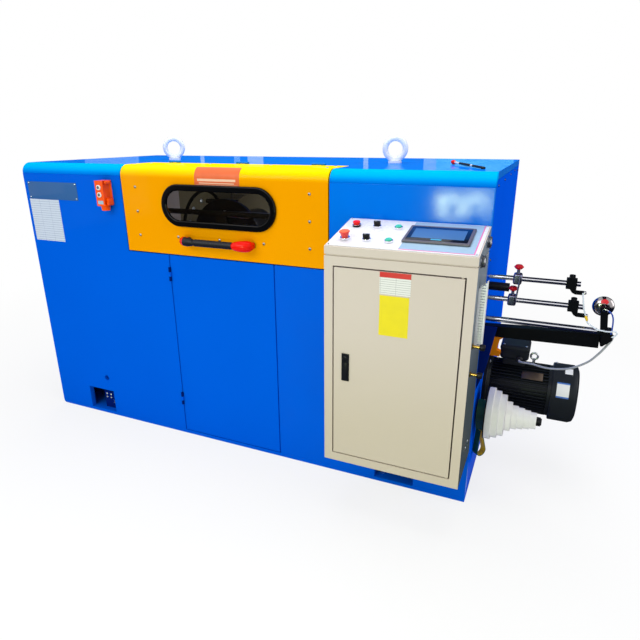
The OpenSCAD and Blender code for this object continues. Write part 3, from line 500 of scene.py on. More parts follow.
def cord_piece(name, node, corners, diameter, finish):
    route = smooth_route([[v / 1000 for v in p] for p in corners])
    data = bpy.data.curves.new(name, "CURVE")
    data.dimensions = "3D"
    data.bevel_depth = diameter / 2
    data.bevel_resolution = 4
    data.use_fill_caps = True
    spline = data.splines.new("POLY")
    spline.points.add(len(route) - 1)
    for point, place in zip(spline.points, route):
        point.co = (*place, 1)
    spline.use_smooth = True
    obj = put(name, data)
    data.materials.append(finish.material)
    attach(obj, "machine")
    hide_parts(node)


cord_piece("motor_cable_cord", "motor_cable", [
    (1588.2, -452, 800), (1587.6, -450, 781), (1573, -444, 749), (1555, -430, 712), (1529, -400, 665),
    (1482, -362, 617), (1439, -322, 588), (1391, -286, 570), (1340, -250, 563), (1304, -228, 555), (1287, -207, 548),
    (1287, -194.8, 548)], 0.008, cord_grey)
cord_piece("contact_lead_cord", "contact_lead", [
    (1471, -478.6, 949), (1475, -481.4, 926), (1480, -482.8, 900), (1486, -481.4, 880), (1493, -479, 864),
    (1500, -480, 844), (1511, -486, 838), (1530, -496.5, 829.5), (1548, -499, 827.3), (1569, -499.2, 826),
    (1584, -499.2, 829.5), (1592.5, -499.2, 826.5), (1592.8, -499, 818), (1587, -498.9, 811), (1580, -498.7, 807)],
    0.005, cord_white)
cord_piece("wheel_lead_cord", "wheel_lead", [
    (1546, -498.6, 903), (1556, -499, 899.5), (1565, -499.5, 893.5), (1570.5, -499.6, 885.5), (1574, -499.5, 875),
    (1575.8, -499, 862), (1576.8, -497.5, 848), (1577.4, -494, 834), (1577.5, -490.5, 822), (1577.5, -489.5, 814.2)],
    0.005, cord_blue)

# %% [markdown]
# ## Housing
# Walls and covers are folded sheet, so their edges are rounded by about the sheet's thickness. That bevel catches a
# thin highlight, which tells the eye that it is metal. A seal strip lies in the gap at the door's free edge.

# %% Housing skins
made("door_seal", panel_blue_painted_sheen, (block, (0.2756, -0.5105, 0.024), (0.279, -0.492, 0.945), 0.001))
for name in ("front_panel_left", "front_door", "left_end_wall", "back_wall", "base_plate"):
    softened(name, 0.002, blue)
softened("front_panel_right", 0.0035, panel_blue_painted_sheen, 3)
for name in ("top_cover_left", "top_cover_right", "top_cover_rear"):
    softened(name, 0.002, cover_blue_painted_bend_light)
softened("right_end_wall", 0.002, navy)
# The gusset and the door's hinge barrels are painted dark blue, painted shade under the rods and at the hinge.
softened("beam_gusset", 0.0015, blue_in_painted_shade)
softened("hinge_barrels", 0.0006, [cover_blue_painted_bend_light, blue_in_painted_shade], sort=lambda c, n: c.z < 1.2 and c.y < 0)
softened("chamber_walls", 0.002, olive)
softened("cradle", 0.002, olive_in_painted_shade)
softened("bobbin", 0.003, [black, olive], sort=lambda c, n: c.y > 0.05)
softened("eye_bolts", 0.0015, eye_white_painted_sheen)
softened("levelling_bolts", 0.001, zinc)
print("housing skins made")

# %% [markdown]
# ## Screws and blank plates of the housing
# One bmesh holds a whole row of screw heads, since they share a body and a finish. The plate and the sheet on the left
# panel are blank: painted metal with four screws, and a paper label whose plain lines come from the fraction of the
# height, which repeats.

# %% Housing screws and plates
FRONT, BACK, DRIVE_END, SHEET_LEFT = -0.515, 0.515, 1.15, -1.131
screw_row("drive_end_screws", [(DRIVE_END, y, z) for y, z in (
    (-0.43, 1.298), (-0.204, 1.302), (0.05, 1.306), (0.259, 1.31), (0.45, 1.3), (-0.465, 1.035), (0.45, 0.68),
    (0.45, 0.06), (0.0, 0.06))], RIGHT, 5.2, dark_chrome)
screw_row("drive_end_bolts", [(DRIVE_END, -0.381, 0.589), (DRIVE_END, -0.087, 0.6)], RIGHT, 12, steel)
screw_row("far_end_screws", [(-DRIVE_END, y, z) for y in (-0.46, -0.15, 0.15, 0.46) for z in (0.06, 1.3)],
          (-1, 0, 0), 7, zinc)
screw_row("back_screws", [(x, BACK, z) for x in (-1.1, -0.55, 0.0, 0.55, 1.1) for z in (0.06, 0.68, 1.28)],
          (0, 1, 0), 7, zinc)
made("blank_name_plate", plate_blue,
     (block, (-1.126, FRONT - 0.0015, 1.173), (-0.795, FRONT + 0.0005, 1.258), 0.0006))
screw_row("plate_screws", [(x, FRONT - 0.0015, z) for x in (-1.117, -0.804) for z in (1.181, 1.25)],
          TO_FRONT, 4.2, zinc)


def ruled(name, paper, ink, rows, columns, share):
    """A sheet with plain rules: so many rows and columns to the metre, and the share of each row that is inked."""
    f = Finish(name, "white_plate", Specular_IOR_Level=0.3)
    row = f.calc("Math", "FRACT", f.axis(2) * rows)
    column = f.calc("Math", "FRACT", (f.axis(0) - SHEET_LEFT) * columns)
    marks = f.calc("Math", "MAXIMUM", row < share, column < 0.02)
    f.set(Base_Color=f.mix(marks * 0.6, srgb(*paper), srgb(*ink)), Roughness=0.4 + 0.08 * f.noise(20.0))
    return f


bm = bmesh.new()
block(bm, (SHEET_LEFT, FRONT - 0.0006, 0.961), (-0.929, FRONT + 0.0004, 1.172))
bmesh.ops.subdivide_edges(bm, edges=bm.edges[:], cuts=2, use_grid_fill=True)
piece("blank_data_sheet", bm, ruled("ruled_sheet", (202, 212, 230), (98, 116, 160), 88.0, 14.85, 0.16))
print("screws and plates made")

# %% [markdown]
# ## Pocket tab
# Behind the left pocket in the front panel stands a small blue tab with four bolts, next to the levelling bolt. Its
# dark blue is painted shade of the pocket.

# %% Pocket tab
made("pocket_tab", blue_in_painted_shade, (block, (-0.855, -0.482, 0.012), (-0.787, -0.479, 0.119), 0.0008))
screw_row("pocket_bolts", [(x, -0.482, z) for z in (0.1, 0.08) for x in (-0.838, -0.81)], TO_FRONT, 6, zinc)
print("pocket dressed")

# %% [markdown]
# ## Hood
# The hood is one bent sheet. Its window sits in a fat rubber seal: a wide bevel with several segments turns the square
# section into a bead. A blank sticker runs over the bend: one edge is extruded up the front and then spun round the
# bend's own centre. Three plain bars take the place of print.

# %% Hood, seal, pane and sticker
# The hood's yellow carries painted light on its upper bend.
softened("hood_shell", 0.002, [yellow, cover_blue_painted_bend_light], sort=lambda c, n: c.z > 1.3492)
softened("window_seal", 0.0065, rubber, 4)
softened("window_pane", 0.0, pane)
screw_row("hood_front_screws", [(x, FRONT, z) for x in (-0.431, 0.447) for z in (1.031, 1.142, 1.251)]
          + [(x, FRONT, 1.036) for x in (-0.212, 0.01, 0.232)], TO_FRONT, 6.4, steel, "hood")
screw_row("hood_top_screws", [(x, y, 1.348) for x, y in (
    (0.496, -0.449), (0.489, -0.342), (0.18, -0.333), (-0.138, -0.333), (-0.47, -0.342), (-0.478, -0.449))],
    UP, 6.4, zinc, "hood")

BEND_Y, BEND_Z, STICKER_Z = -0.465, 1.298, 1.268
bm = bmesh.new()
bm.edges.new([bm.verts.new((x, FRONT - 0.0003, STICKER_Z)) for x in (-0.1, 0.126)])
grown = bmesh.ops.extrude_edge_only(bm, edges=bm.edges[:])["geom"]
upper = [g for g in grown if isinstance(g, bmesh.types.BMVert)]
bmesh.ops.translate(bm, verts=upper, vec=(0, 0, BEND_Z - STICKER_Z))
rim = [e for e in bm.edges if all(v in upper for v in e.verts)]
spun_sheet(bm, upper + rim, (0, BEND_Y, BEND_Z), 66, 9, 0.0005)
piece("hood_blank_sticker", bm, sticker_salmon, "hood")
made("sticker_plain_bars", sticker_pale, *[
    (block, (left, FRONT - 0.0011, base), (right, FRONT - 0.0002, top)) for left, base, right, top in (
        (-0.092, 1.2715, 0.118, 1.2728), (-0.076, 1.277, 0.1, 1.281), (-0.084, 1.287, 0.108, 1.297))], body="hood")
print("hood dressed")

# %% [markdown]
# ## Hood handle
# A ribbed grip between two swollen ends, on two short legs. Ribs and ends are lathe profiles along the grip's axis. The
# ends then lean back, the more the further out, and one mesh carries black and red.

# %% Handle
GRIP_Y, GRIP_Z = -0.565, 1.027
SWELL = ((0, 0), (12.5, 4), (19, 18), (23.2, 42), (24.4, 66), (22.6, 81), (15.5, 91.5), (0, 94.8))
bm = bmesh.new()
for way, start, fat in ((1, 0.1, 1.0), (-1, -0.084, 0.84)):
    turned(bm, [(r * fat, h) for r, h in SWELL], (start, GRIP_Y, GRIP_Z), (way, 0, 0), 32)
for v in bm.verts:
    v.co.y += 0.35 * max(0.0, abs(v.co.x - 0.008) - 0.128)
ribs = [(r, 16 * k + h) for k in range(12) for r, h in ((15.2, 0), (16, 3), (16, 11), (15.2, 14))]
turned(bm, [(0, -2), (14.5, -2), *ribs, (14.5, 194), (0, 194)], (-0.088, GRIP_Y, GRIP_Z), RIGHT)
for left in (-0.176, 0.154):
    block(bm, (left, -0.556, 1.012), (left + 0.038, -0.5152, 1.042), 0.008, 3)
paint(bm, lambda c, n: c.y < -0.528 and (c.x > 0.109 or (c.x < -0.146 and n.x < 0.1)))
piece("handle_body", bm, [grip_black, red], "hood", "hood_handle", smooth=60)
print("handle made")

# %% [markdown]
# ## Behind the window
# Through the pane one sees the lined chamber: a perforated lining on the back wall, a pale plate, the black rim of the
# rotor with a circle of bolts, and two thin rods. The holes are dark dots, painted shade behind the sheet, from a
# Voronoi texture with no randomness, which is an even grid of points.

# %% Chamber
lining = Finish("perforated_lining", "olive_lining", Specular_IOR_Level=0.3)
holes = lining.node("TexVoronoi", {}, {"Vector": lining.stretched((1, 0, 1)), "Scale": 62.0, "Randomness": 0.0})
stain = lining.noise(6.0, 4.0)
sheet = lining.mix(stain, srgb(206, 192, 160), srgb(170, 156, 124))
# Holes take a dark colour: painted shade.
lining.set(Base_Color=lining.mix(holes < 0.2, sheet, srgb(40, 36, 28)), Roughness=0.6 + 0.1 * stain)
PARTITION, ROTOR_Y, ROTOR_Z = -0.5598, 0.173, 0.968
made("back_lining", lining, (block, (-0.555, 0.474, 0.03), (0.555, 0.486, 1.315), 0.002))
made("front_lining", beige, (block, (PARTITION, -0.45, 0.9), (-0.553, -0.05, 1.29), 0.002))
made("rotor_rim", rubber, (turned, [(190, -0.4), (190, 12), (204, 12), (204, -0.4), (190, -0.4)],
                           (PARTITION, ROTOR_Y, ROTOR_Z), RIGHT, 96))
screw_row("partition_bolts", on_circle(PARTITION, ROTOR_Y, ROTOR_Z, 0.142, (0.85, 1.25, 1.68, 2.31, 2.9)),
          RIGHT, 13, zinc)
made("wire_guides", steel,
     (bar, (-0.164, -0.2, 1.111), (0.559, -0.2, 1.118), 0.004),
     (bar, (-0.031, -0.2, 1.091), (0.559, -0.2, 1.096), 0.003),
     (block, (-0.17, -0.206, 1.08), (-0.158, -0.194, 1.117), 0.001),
     (block, (-0.17, -0.206, 1.085), (-0.025, -0.196, 1.095), 0.001))
print("chamber dressed")

# %% [markdown]
# ## Control cabinet
# Shell and door share one textured paint. The lock is a plate with a swing lever in it. Two brass bolts with black
# heads stand out of the right side, and blank stickers mark where labels go.

# %% Cabinet
CABINET, CABINET_SIDE, BOLT_Y = -0.78, 1.149, -0.752
softened("cabinet_door", 0.0015, beige)
# Right-hand faces of shell and desk take the grey-blue of painted shade and reflection, not beige.
for name in ("cabinet_shell", "desk"):
    softened(name, 0.0015, [beige, beige_side_painted_shade], sort=lambda c, n: n.x > 0.9 and c.x > 1.14)
softened("cabinet_lock", 0.001, black)
low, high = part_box("cabinet_lock")
made("lock_lever", black,
     (block, (low[0] + 0.006, low[1] - 0.0035, low[2] + 0.012),
      (high[0] - 0.006, low[1] + 0.001, high[2] - 0.034), 0.0015),
     (turned, [(0, -1), (8.8, -1), (8.8, 2), (7.5, 3), (3, 3), (3, 1.5), (0, 1.5)],
      ((low[0] + high[0]) / 2, low[1], high[2] - 0.018), TO_FRONT, 20), body="cabinet_leaf")
lines = ruled("ruled_label", (226, 226, 226), (120, 120, 124), 130.0, 18.35, 0.2)
for name, finish, left, base, right, top, out, back in (
        ("white", lines, 0.828, 0.957, 0.937, 1.0345, 0.0005, 0.0004),
        ("band", sticker_red, 0.828, 1.016, 0.937, 1.0345, 0.0008, 0.0),
        ("yellow", sticker_yellow, 0.83, 0.806, 0.934, 0.952, 0.0005, 0.0004)):
    made("blank_label_" + name, finish, (block, (left, CABINET - out, base), (right, CABINET + back, top)),
         body="cabinet_leaf")

bolts, knobs = [], []
for z in (0.801, 0.699):
    foot = (1.1485, BOLT_Y, z)
    bolts += [(bar, foot, (1.175, BOLT_Y, z), 0.0055, 20),
              (turned, [(0, 0), (11, 0), (11, 4), (0, 4)], foot, RIGHT, 6)]
    knobs += [(turned, [(0, 0), (9, 0), (11.2, 3), (11.2, 14), (9, 18), (0, 18.5)], (1.173, BOLT_Y, z), RIGHT, 24)]
made("side_bolts", brass, *bolts)
made("side_bolt_heads", black, *knobs)
screw_row("cabinet_side_screws", [(CABINET_SIDE, -0.624, 0.362), (CABINET_SIDE, -0.669, 0.358)], RIGHT, 6, zinc)
print("cabinet dressed")

# %% [markdown]
# ## Duct and plugs on the cabinet's side
# A wiring duct is a back, a lid, and two walls cut into fingers, each its own small block, so light shows between them.
# A plane bisects the mesh to cut its top on the slant, and the holes it leaves are filled. The ridges of the threaded
# plugs are steps in a lathe profile.

# %% Duct and plugs
FINGERS = 24
low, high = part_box("wiring_duct")
bm = bmesh.new()
block(bm, low, (low[0] + 0.008, high[1], high[2]), 0.0008)
block(bm, (high[0] - 0.003, low[1] - 0.0005, low[2]), (high[0], high[1] + 0.0005, high[2]), 0.0008)
pitch = (high[2] - low[2]) / FINGERS
for k in range(FINGERS):
    z = low[2] + pitch * k
    for y in (low[1], high[1] - 0.002):
        block(bm, (low[0] + 0.0075, y, z + 0.0018), (high[0] - 0.0025, y + 0.002, z + pitch - 0.0018))
edge = bmesh.ops.bisect_plane(bm, geom=bm.verts[:] + bm.edges[:] + bm.faces[:], plane_co=(high[0], 0, high[2]),
                              plane_no=(-0.68, 0, 0.73), clear_outer=True)["geom_cut"]
bmesh.ops.holes_fill(bm, edges=[g for g in edge if isinstance(g, bmesh.types.BMEdge)], sides=0)
bmesh.ops.recalc_face_normals(bm, faces=bm.faces[:])
piece("slotted_duct", bm, duct_grey, stands_for="wiring_duct")

thread = [(r, h + 3 * k) for k in range(3) for r, h in ((18.2, 4.2), (20.5, 5.7))]
plug = [(0, -0.2), (21, -0.2), (21, 3.4), *thread, (18.2, 12.8), (16.5, 13.8), (12.5, 13.8), (11.5, 9), (0, 9)]
made("threaded_plugs", steel, *[(turned, plug, (CABINET_SIDE, *yz), RIGHT) for yz in ((-0.6, 1.126), (-0.728, 1.086))],
     stands_for="side_plugs", smooth=25)
print("duct and plugs made")

# %% [markdown]
# ## Desk and touch panel
# The desk slopes, so its parts are built flat, in coordinates along, up the slope and out, and one matrix lays them on
# it. The touch panel has a bezel, a dark rim and a glass face. A blue film with a pink edge covers the right half.

# %% Desk
DESK = Matrix.Translation((0, CABINET, 1.108)) @ Matrix.Rotation(math.radians(12.345), 4, "X")
softened("desk_plate", 0.0008, plate_white)
softened("touch_panel", 0.004, bezel_grey, 3)
for name, low, high, finish, round_by in (
        ("desk_film", (0.884, 0.014, 0.0028), (1.129, 0.262, 0.0034), film_blue, 0.0),
        ("film_line_right", (1.1285, 0.014, 0.0028), (1.1325, 0.262, 0.0037), film_pink, 0.0),
        ("film_line_front", (0.884, 0.011, 0.0028), (1.1325, 0.0145, 0.0037), film_pink, 0.0),
        ("screen_surround", (0.889, 0.077, 0.011), (1.098, 0.2, 0.0126), screen_rim, 0.0006),
        ("screen_glass", (0.904, 0.098, 0.0115), (1.083, 0.18, 0.013), screen, 0.0003),
        ("screen_tab", (0.975, 0.085, 0.0125), (1.011, 0.0935, 0.0131), tab_cyan, 0.0)):
    made(name, finish, (block, low, high, round_by), place=DESK)
made("desk_screws", zinc, *[(screw, (x, s, 0.003), UP, 4.2) for x in (0.634, 1.138) for s in (0.012, 0.26)],
     place=DESK)
print("desk dressed")

# %% [markdown]
# ## Push buttons and selectors
# Each control has a chrome ring. The emergency mushroom has a paler top, sorted out by faces that look along the desk's
# normal. The selectors get a white pointer line on their bar.

# %% Controls
DESK_NORMAL = (DESK.to_3x3() @ Vector(UP)).normalized()
STOP = (0.677, 0.189, 0.003)
softened("control_bezels", 0.001, chrome)
softened("stop_button", 0.001, red, 3)
made("stop_cap", red,
     (turned, [(0, 11.8), (12.8, 12.4), (13.8, 13.4), (13.8, 17.2), (12.5, 18.8), (0, 19.4)], STOP, UP),
     body=nodes["stop_button"]["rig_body"], place=DESK)
made("stop_collar", black,
     (turned, [(12.4, 0), (15.6, 0), (15.6, 7.1), (12.4, 7.3), (12.4, 0)], STOP, UP), place=DESK)
softened("emergency_button", 0.0015, [mushroom_red, sticker_salmon], 3, sort=lambda c, n: n.dot(DESK_NORMAL) > 0.85)
for name in ("start_button", "jog_button"):
    softened(name, 0.002, mint, 3)
for name, s in (("selector_left", 0.189), ("selector_right", 0.064)):
    softened(name, 0.0015, black)
    peak = max((Vector(v.co) for v in nodes[name].data.vertices), key=lambda p: p.dot(DESK_NORMAL))
    top = (DESK.inverted() @ peak).z
    made(name + "_pointer", white, (block, (0.7482, s - 0.0008, top - 0.0005), (0.7565, s + 0.0008, top + 0.0004)),
         body=nodes[name]["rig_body"], place=DESK)
print("controls dressed")

# %% [markdown]
# ## Pendant station
# The recess in its right side is an inset of that one face of the CAD copy, pushed in before the edges are rounded. The
# buttons are white rings with grey centres.

# %% Pendant station
bm = cad_copy("pendant_station")
bm.normal_update()
side = [f for f in bm.faces if f.normal.x > 0.99 and f.calc_area() > 0.003]
bmesh.ops.inset_individual(bm, faces=side, thickness=0.012, depth=-0.008)
bevel_hard(bm, 0.007, 5)
block(bm, (-0.578, -0.556, 1.165), (-0.564, -0.518, 1.197), 0.0055, 4)
block(bm, (-0.578, -0.556, 1.262), (-0.567, -0.518, 1.277), 0.005, 4)
piece("pendant_case", bm, orange, stands_for="pendant_station", weighted=True)
for name in ("pendant_button_upper", "pendant_button_lower"):
    softened(name, 0.0012, white)
    low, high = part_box(name)
    middle = ((low[0] + high[0]) / 2, low[1], (low[2] + high[2]) / 2)
    made(name + "_centre", bezel_grey, (turned, [(0, -1), (7.2, -1), (6.8, 0.6), (0, 1)], middle, TO_FRONT, 24),
         body=nodes[name]["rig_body"])
made("pendant_blank_label", film_blue, (block, (-0.612, -0.5706, 1.172), (-0.58, -0.5698, 1.188)))
print("pendant made")

# %% [markdown]
# ## Lever on the top cover
# A short lever lies on the right cover: a white rod with black sleeves, a small foot and a red knob turned on a lathe.

# %% Cover lever
foot, tip = Vector((1.081, -0.335, 1.3528)), Vector((0.905, -0.028, 1.3582))
knob_end = foot.lerp(tip, 0.86)
made("lever_foot", black,
     (bar, foot, foot.lerp(tip, 0.3), 0.0044, 20),
     (bar, foot.lerp(tip, 0.36), foot.lerp(tip, 0.7), 0.005, 20),
     (block, (1.073, -0.345, 1.3475), (1.088, -0.33, 1.356), 0.002))
made("lever_shaft", white, (bar, foot.lerp(tip, 0.02), knob_end, 0.004, 20))
made("lever_knob", red, (turned, [(0, 0), (5.5, 0), (8.5, 12), (9.2, 24), (7, 36), (0, 41)], knob_end, tip - foot))
print("lever made")

# %% [markdown]
# ## Wire guide
# Chrome rods carry steel clamps. Each is tightened by a red knob, turned like a lens, and each end clamp by a black
# knurled knob. The eyelet arms end in a bright ball.

# %% Wire guide
ROD_Y, UPPER_ROD, LOWER_ROD = -0.47, 0.977, 0.896
for name in ("support_beam", "wheel_arm"):
    softened(name, 0.002, beam_black)
softened("guide_rods", 0.001, chrome)
softened("inlet_tube", 0.001, black)
LENS = [(0, -1), (10.5, -0.6), (13.5, 3), (16.8, 6.6), (16.8, 7.8), (13.5, 11.4), (10.5, 14.9), (0, 15.6)]
clamps, nuts = [], []
for x, z in ((1.253, UPPER_ROD), (1.242, LOWER_ROD)):
    clamps += [(block, (x - 0.015, ROD_Y - 0.018, z - 0.02), (x + 0.015, ROD_Y + 0.018, z + 0.02), 0.007, 4),
               (bar, (x, ROD_Y, z + 0.018), (x, ROD_Y, z + 0.0365), 0.0055)]
    nuts += [(turned, LENS, (x, ROD_Y, z + 0.036), UP, 24)]
made("rod_clamp_bodies", clamp_steel, *clamps, stands_for="rod_clamps", weighted=True)
softened("eyelet_arms", 0.005, beam_black, 4)
made("wing_nuts", dark_red, *nuts)
bm = bmesh.new()
for x, z in ((1.431, UPPER_ROD), (1.447, LOWER_ROD)):
    for k in range(16):
        out = Vector((x + 0.0088 * math.cos(k * math.pi / 8), ROD_Y + 0.0088 * math.sin(k * math.pi / 8), z))
        bar(bm, out + Vector((0, 0, 0.019)), out + Vector((0, 0, 0.03)), 0.0013, 6)
piece("knob_knurls", bm, black)
BALL = [(0, -2), (4, -2), (5.4, 1), (6, 4.5), (5, 7.8), (0, 9.2)]
made("eyelet_balls", bright,
     *[(turned, BALL, (x, ROD_Y, z), RIGHT, 20) for x, z in ((1.474, 0.9475), (1.49, 0.8665))])
made("clamp_link", bright, (bar, (1.256, -0.4895, 0.908), (1.263, -0.4895, 0.99), 0.0032))
print("wire guide dressed")

# %% [markdown]
# ## Lead ends and meter wheel
# A yellow crimp grips the white lead, and a bright lug holds the blue one on the wheel's pin. The wheel's lathe profile
# starts and ends in the bore, so it stays hollow. The red dot is cut out of a slightly larger dome by ten bisecting
# planes, so that it follows the curve.

# %% Lead ends and wheel
made("lead_crimp", crimp_yellow, (turned, [(0, 0), (3, 0), (4.6, 3), (4.6, 13), (3.4, 18), (0, 18)],
                                  (1.4915, -0.4795, 0.868), (0.34, -0.03, -0.94), 20))
made("wheel_lug", bright,
     (turned, [(0, -1), (6.2, -1), (6.2, 1.8), (4, 2), (4, 3.2), (0, 3.4)], (1.543, -0.496, 0.9), TO_FRONT, 24),
     (bar, (1.5455, -0.4986, 0.9032), (1.5562, -0.499, 0.8994), 0.0029))

PIN = Vector((1.543, -0.453, 0.9))
DOME = [(7.5, 11.8), (15, 11.2), (23.4, 8.5), (29.4, 4.5), (33.6, -0.5), (35.3, -5), (35.3, -9), (32.7, -11.5),
        (7.5, -11.8), (7.5, 11.8)]
made("meter_wheel_dome", polished, (turned, DOME, PIN, TO_FRONT, 64), body="wheel", stands_for="meter_wheel")
bm = bmesh.new()
turned(bm, [(r + 0.3, h + 0.4) for r, h in DOME[1:5]], PIN, TO_FRONT, 64)
for k in range(10):
    way = Vector((math.cos(k * math.pi / 5), 0, math.sin(k * math.pi / 5)))
    bmesh.ops.bisect_plane(bm, geom=bm.verts[:] + bm.edges[:] + bm.faces[:], plane_no=way, clear_outer=True,
                           plane_co=PIN + Vector((0.001, 0, 0.02)) + way * (0.0135 - 0.0045 * abs(way.z)))
piece("wheel_blank_dot", bm, sticker_red, "wheel")
# A flat near-black disc on the wheel stands for a hole: painted shade.
made("wheel_hole", painted_hole_shade, (turned, [(0, -2), (5.6, -2), (5.6, 0.8), (0, 0.8)],
                               PIN + Vector((-0.0205, -0.0098, 0.002)), (-0.3, -0.95, 0), 20), body="wheel")
print("wheel dressed")

# %% [markdown]
# ## Drive
# The cone is nylon, held by a black nut. The belt is green outside and yellow inside: a face is inside when it looks
# towards the drum's axis, or towards the middle of the loop that hangs below.

# %% Cone, drum and belt
softened("stepped_cone", 0.0015, [nylon, black], sort=lambda c, n: c.x > 1.3838)
softened("belt_drum", 0.001, black)
LOOP, LOOP_TURN = Vector((1.1775, -0.387, 0.19)), math.radians(50)
LOOP_WAY = Vector((math.cos(LOOP_TURN), math.sin(LOOP_TURN), 0))


def belt_inside(c, n):
    if c.z > 0.293:
        return n.dot(Vector((0, c.y, c.z)) - DRUM) < -0.015
    return n.dot(LOOP_WAY) * (c - LOOP).dot(LOOP_WAY) + n.z * (c.z - LOOP.z) < -0.006


softened("flat_belt", 0.0005, [belt_green, belt_yellow], sort=belt_inside)
softened("orange_bracket", 0.002, amber)
print("cone and belt dressed")

# %% [markdown]
# ## Motor
# The core of the flange motor is turned, and its cooling ribs are thin blocks, each at its own angle about the axis.

# %% Motor
AXIS_Y, AXIS_Z, RIBS = -0.12, 0.398, 44
ON_AXIS = Matrix.Translation((0, AXIS_Y, AXIS_Z))
low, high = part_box("motor_body")
end = 1000 * (high[0] - low[0])
bm = bmesh.new()
turned(bm, [(0, 0), (140, 0), (140, 13), (137, 16), (118, 17), (112, 26), (98.5, 30), (98.5, end - 16), (111, end - 14),
            (112, end), (0, end)], (low[0], AXIS_Y, AXIS_Z), RIGHT, 72)
for k in range(RIBS):
    rib = block(bm, (low[0] + 0.026, -0.0013, 0.09), (high[0] - 0.012, 0.0013, 0.112))
    bmesh.ops.transform(bm, verts=rib, matrix=ON_AXIS @ Matrix.Rotation(2 * math.pi * (k + 0.5) / RIBS, 4, "X"))
piece("motor_frame", bm, graphite, stands_for="motor_body")
screw_row("flange_bolts", on_circle(low[0] + 0.016, AXIS_Y, AXIS_Z, 0.127, (0.4, 1.97, 3.54, 5.11)), RIGHT, 9, zinc)

softened("motor_cowl", 0.003, graphite, 3)
low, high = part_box("motor_cowl")
# Near-black rings on the cowl's end stand for grille slots: painted shade.
grille = [[(r, -0.5), (r, 0.8), (r + 6, 0.8), (r + 6, -0.5), (r, -0.5)] for r in range(30, 96, 13)]
made("cowl_grille", painted_hole_shade, *[(turned, ring, (high[0], AXIS_Y, AXIS_Z), RIGHT, 40) for ring in grille])
SCREW_TURN = 1.3
screw_row("cowl_screws", on_circle(low[0] + 0.012, AXIS_Y, AXIS_Z, 0.126, (SCREW_TURN,)),
          (0, math.cos(SCREW_TURN), math.sin(SCREW_TURN)), 6, zinc)
print("motor made")

# %% [markdown]
# ## Terminal box, plates and lifting eye of the motor
# The box has a lid with four screws and a ribbed gland for the cable. A blank tin plate lies on the ribs, and blank
# stickers follow the cowl's curve, made by spinning one edge about the motor's axis.

# %% Terminal box and plates
low, high = (1.204, -0.18, 0.5382), (1.324, -0.06, 0.6022)
made("terminal_case", graphite, (block, low, high, 0.015, 4),
     (block, (1.218, -0.166, 0.51), (1.31, -0.074, 0.545), 0.003), stands_for="terminal_box", weighted=True)
made("terminal_lid", graphite, (block, (low[0] - 0.0015, low[1] - 0.0015, high[2] - 0.026),
                                (high[0] + 0.0015, high[1] + 0.0015, high[2] + 0.0015), 0.0125, 4), weighted=True)
screw_row("lid_screws", [(x, y, high[2] + 0.0015) for x in (low[0] + 0.014, high[0] - 0.014) for y in (-0.166, -0.074)],
          UP, 5, zinc)
ridges = [(r, h + 3.2 * k) for k in range(4) for r, h in ((11.8, 1), (13.2, 2.2))]
made("cable_gland", grip_black, (turned, [(0, -1), (12.5, -1), *ridges, (10.5, 14.2), (4.8, 14.4), (0, 14.4)],
                                 (1.287, low[1], 0.548), TO_FRONT), smooth=25)
made("motor_blank_plate", plate_tin, (block, (1.304, -0.018, 0.1115), (1.39, 0.018, 0.1132), 0.0005),
     place=ON_AXIS @ Matrix.Rotation(math.radians(40), 4, "X"))


def cowl_sticker(name, finish, sides, start, span, steps, sort=None):
    """A sticker on the cowl, from a start angle above the front, over a span, both in degrees."""
    reach, a = 0.1262, math.radians(start)
    bm = bmesh.new()
    ends = [bm.verts.new((x, AXIS_Y - reach * math.cos(a), AXIS_Z + reach * math.sin(a))) for x in sides]
    spun_sheet(bm, ends + [bm.edges.new(ends)], (0, AXIS_Y, AXIS_Z), span, steps, 0.0004, sort)
    piece(name, bm, finish)


def sticker_rim(c, n):
    return abs(math.degrees(math.atan2(c.z - AXIS_Z, AXIS_Y - c.y)) - 28) > 12.5


cowl_sticker("cowl_blank_sticker", [sticker_white, sticker_blue], (1.448, 1.497), 13, 30, 10, sticker_rim)
cowl_sticker("cowl_top_sticker", sticker_white, (1.474, 1.504), 63, 16, 6)

EYE = (1.345, AXIS_Y, 0.548)
quarter = Matrix.Rotation(math.pi / 2, 3, "X")
bm = bmesh.new()
bar(bm, (EYE[0], AXIS_Y, 0.505), (EYE[0], AXIS_Y, 0.536), 0.006)
ring = bmesh.ops.create_circle(bm, segments=12, radius=0.0045)["verts"]
bmesh.ops.translate(bm, verts=ring, vec=(0.0145, 0, 0))
loop = list({e for v in ring for e in v.link_edges})
bmesh.ops.rotate(bm, verts=ring, cent=(0, 0, 0), matrix=quarter)
bmesh.ops.translate(bm, verts=ring, vec=EYE)
bmesh.ops.spin(bm, geom=ring + loop, cent=EYE, axis=UP, angle=2 * math.pi, steps=28, use_merge=True)
bmesh.ops.rotate(bm, verts=[v for v in bm.verts if v.co.z > 0.5425], cent=EYE, matrix=quarter)
bmesh.ops.remove_doubles(bm, verts=bm.verts[:], dist=1e-6)
bmesh.ops.recalc_face_normals(bm, faces=bm.faces[:])
piece("motor_lifting_eye", bm, zinc)
print("motor plates made")

# %% [markdown]
# ## Light and floor
# A pale floor and a world that fills all shadows evenly. To the camera and in mirrors both show as plain white: a Light
# Path node tells those rays from the rays that carry light. Near the machine the floor keeps a fifth of its own
# shading, so a soft shadow lies on it, and a Map Range node fades that out with distance, so no horizon shows.

# %% World and floor
scene.view_settings.view_transform = "Standard"


def wired(tree, kind, *sockets, **settings):
    """A new node, with sockets linked to its inputs in order."""
    node = tree.nodes.new("ShaderNode" + kind)
    for key, value in settings.items():
        setattr(node, key, value)
    for k, socket in enumerate(sockets):
        tree.links.new(socket, node.inputs[k])
    return node


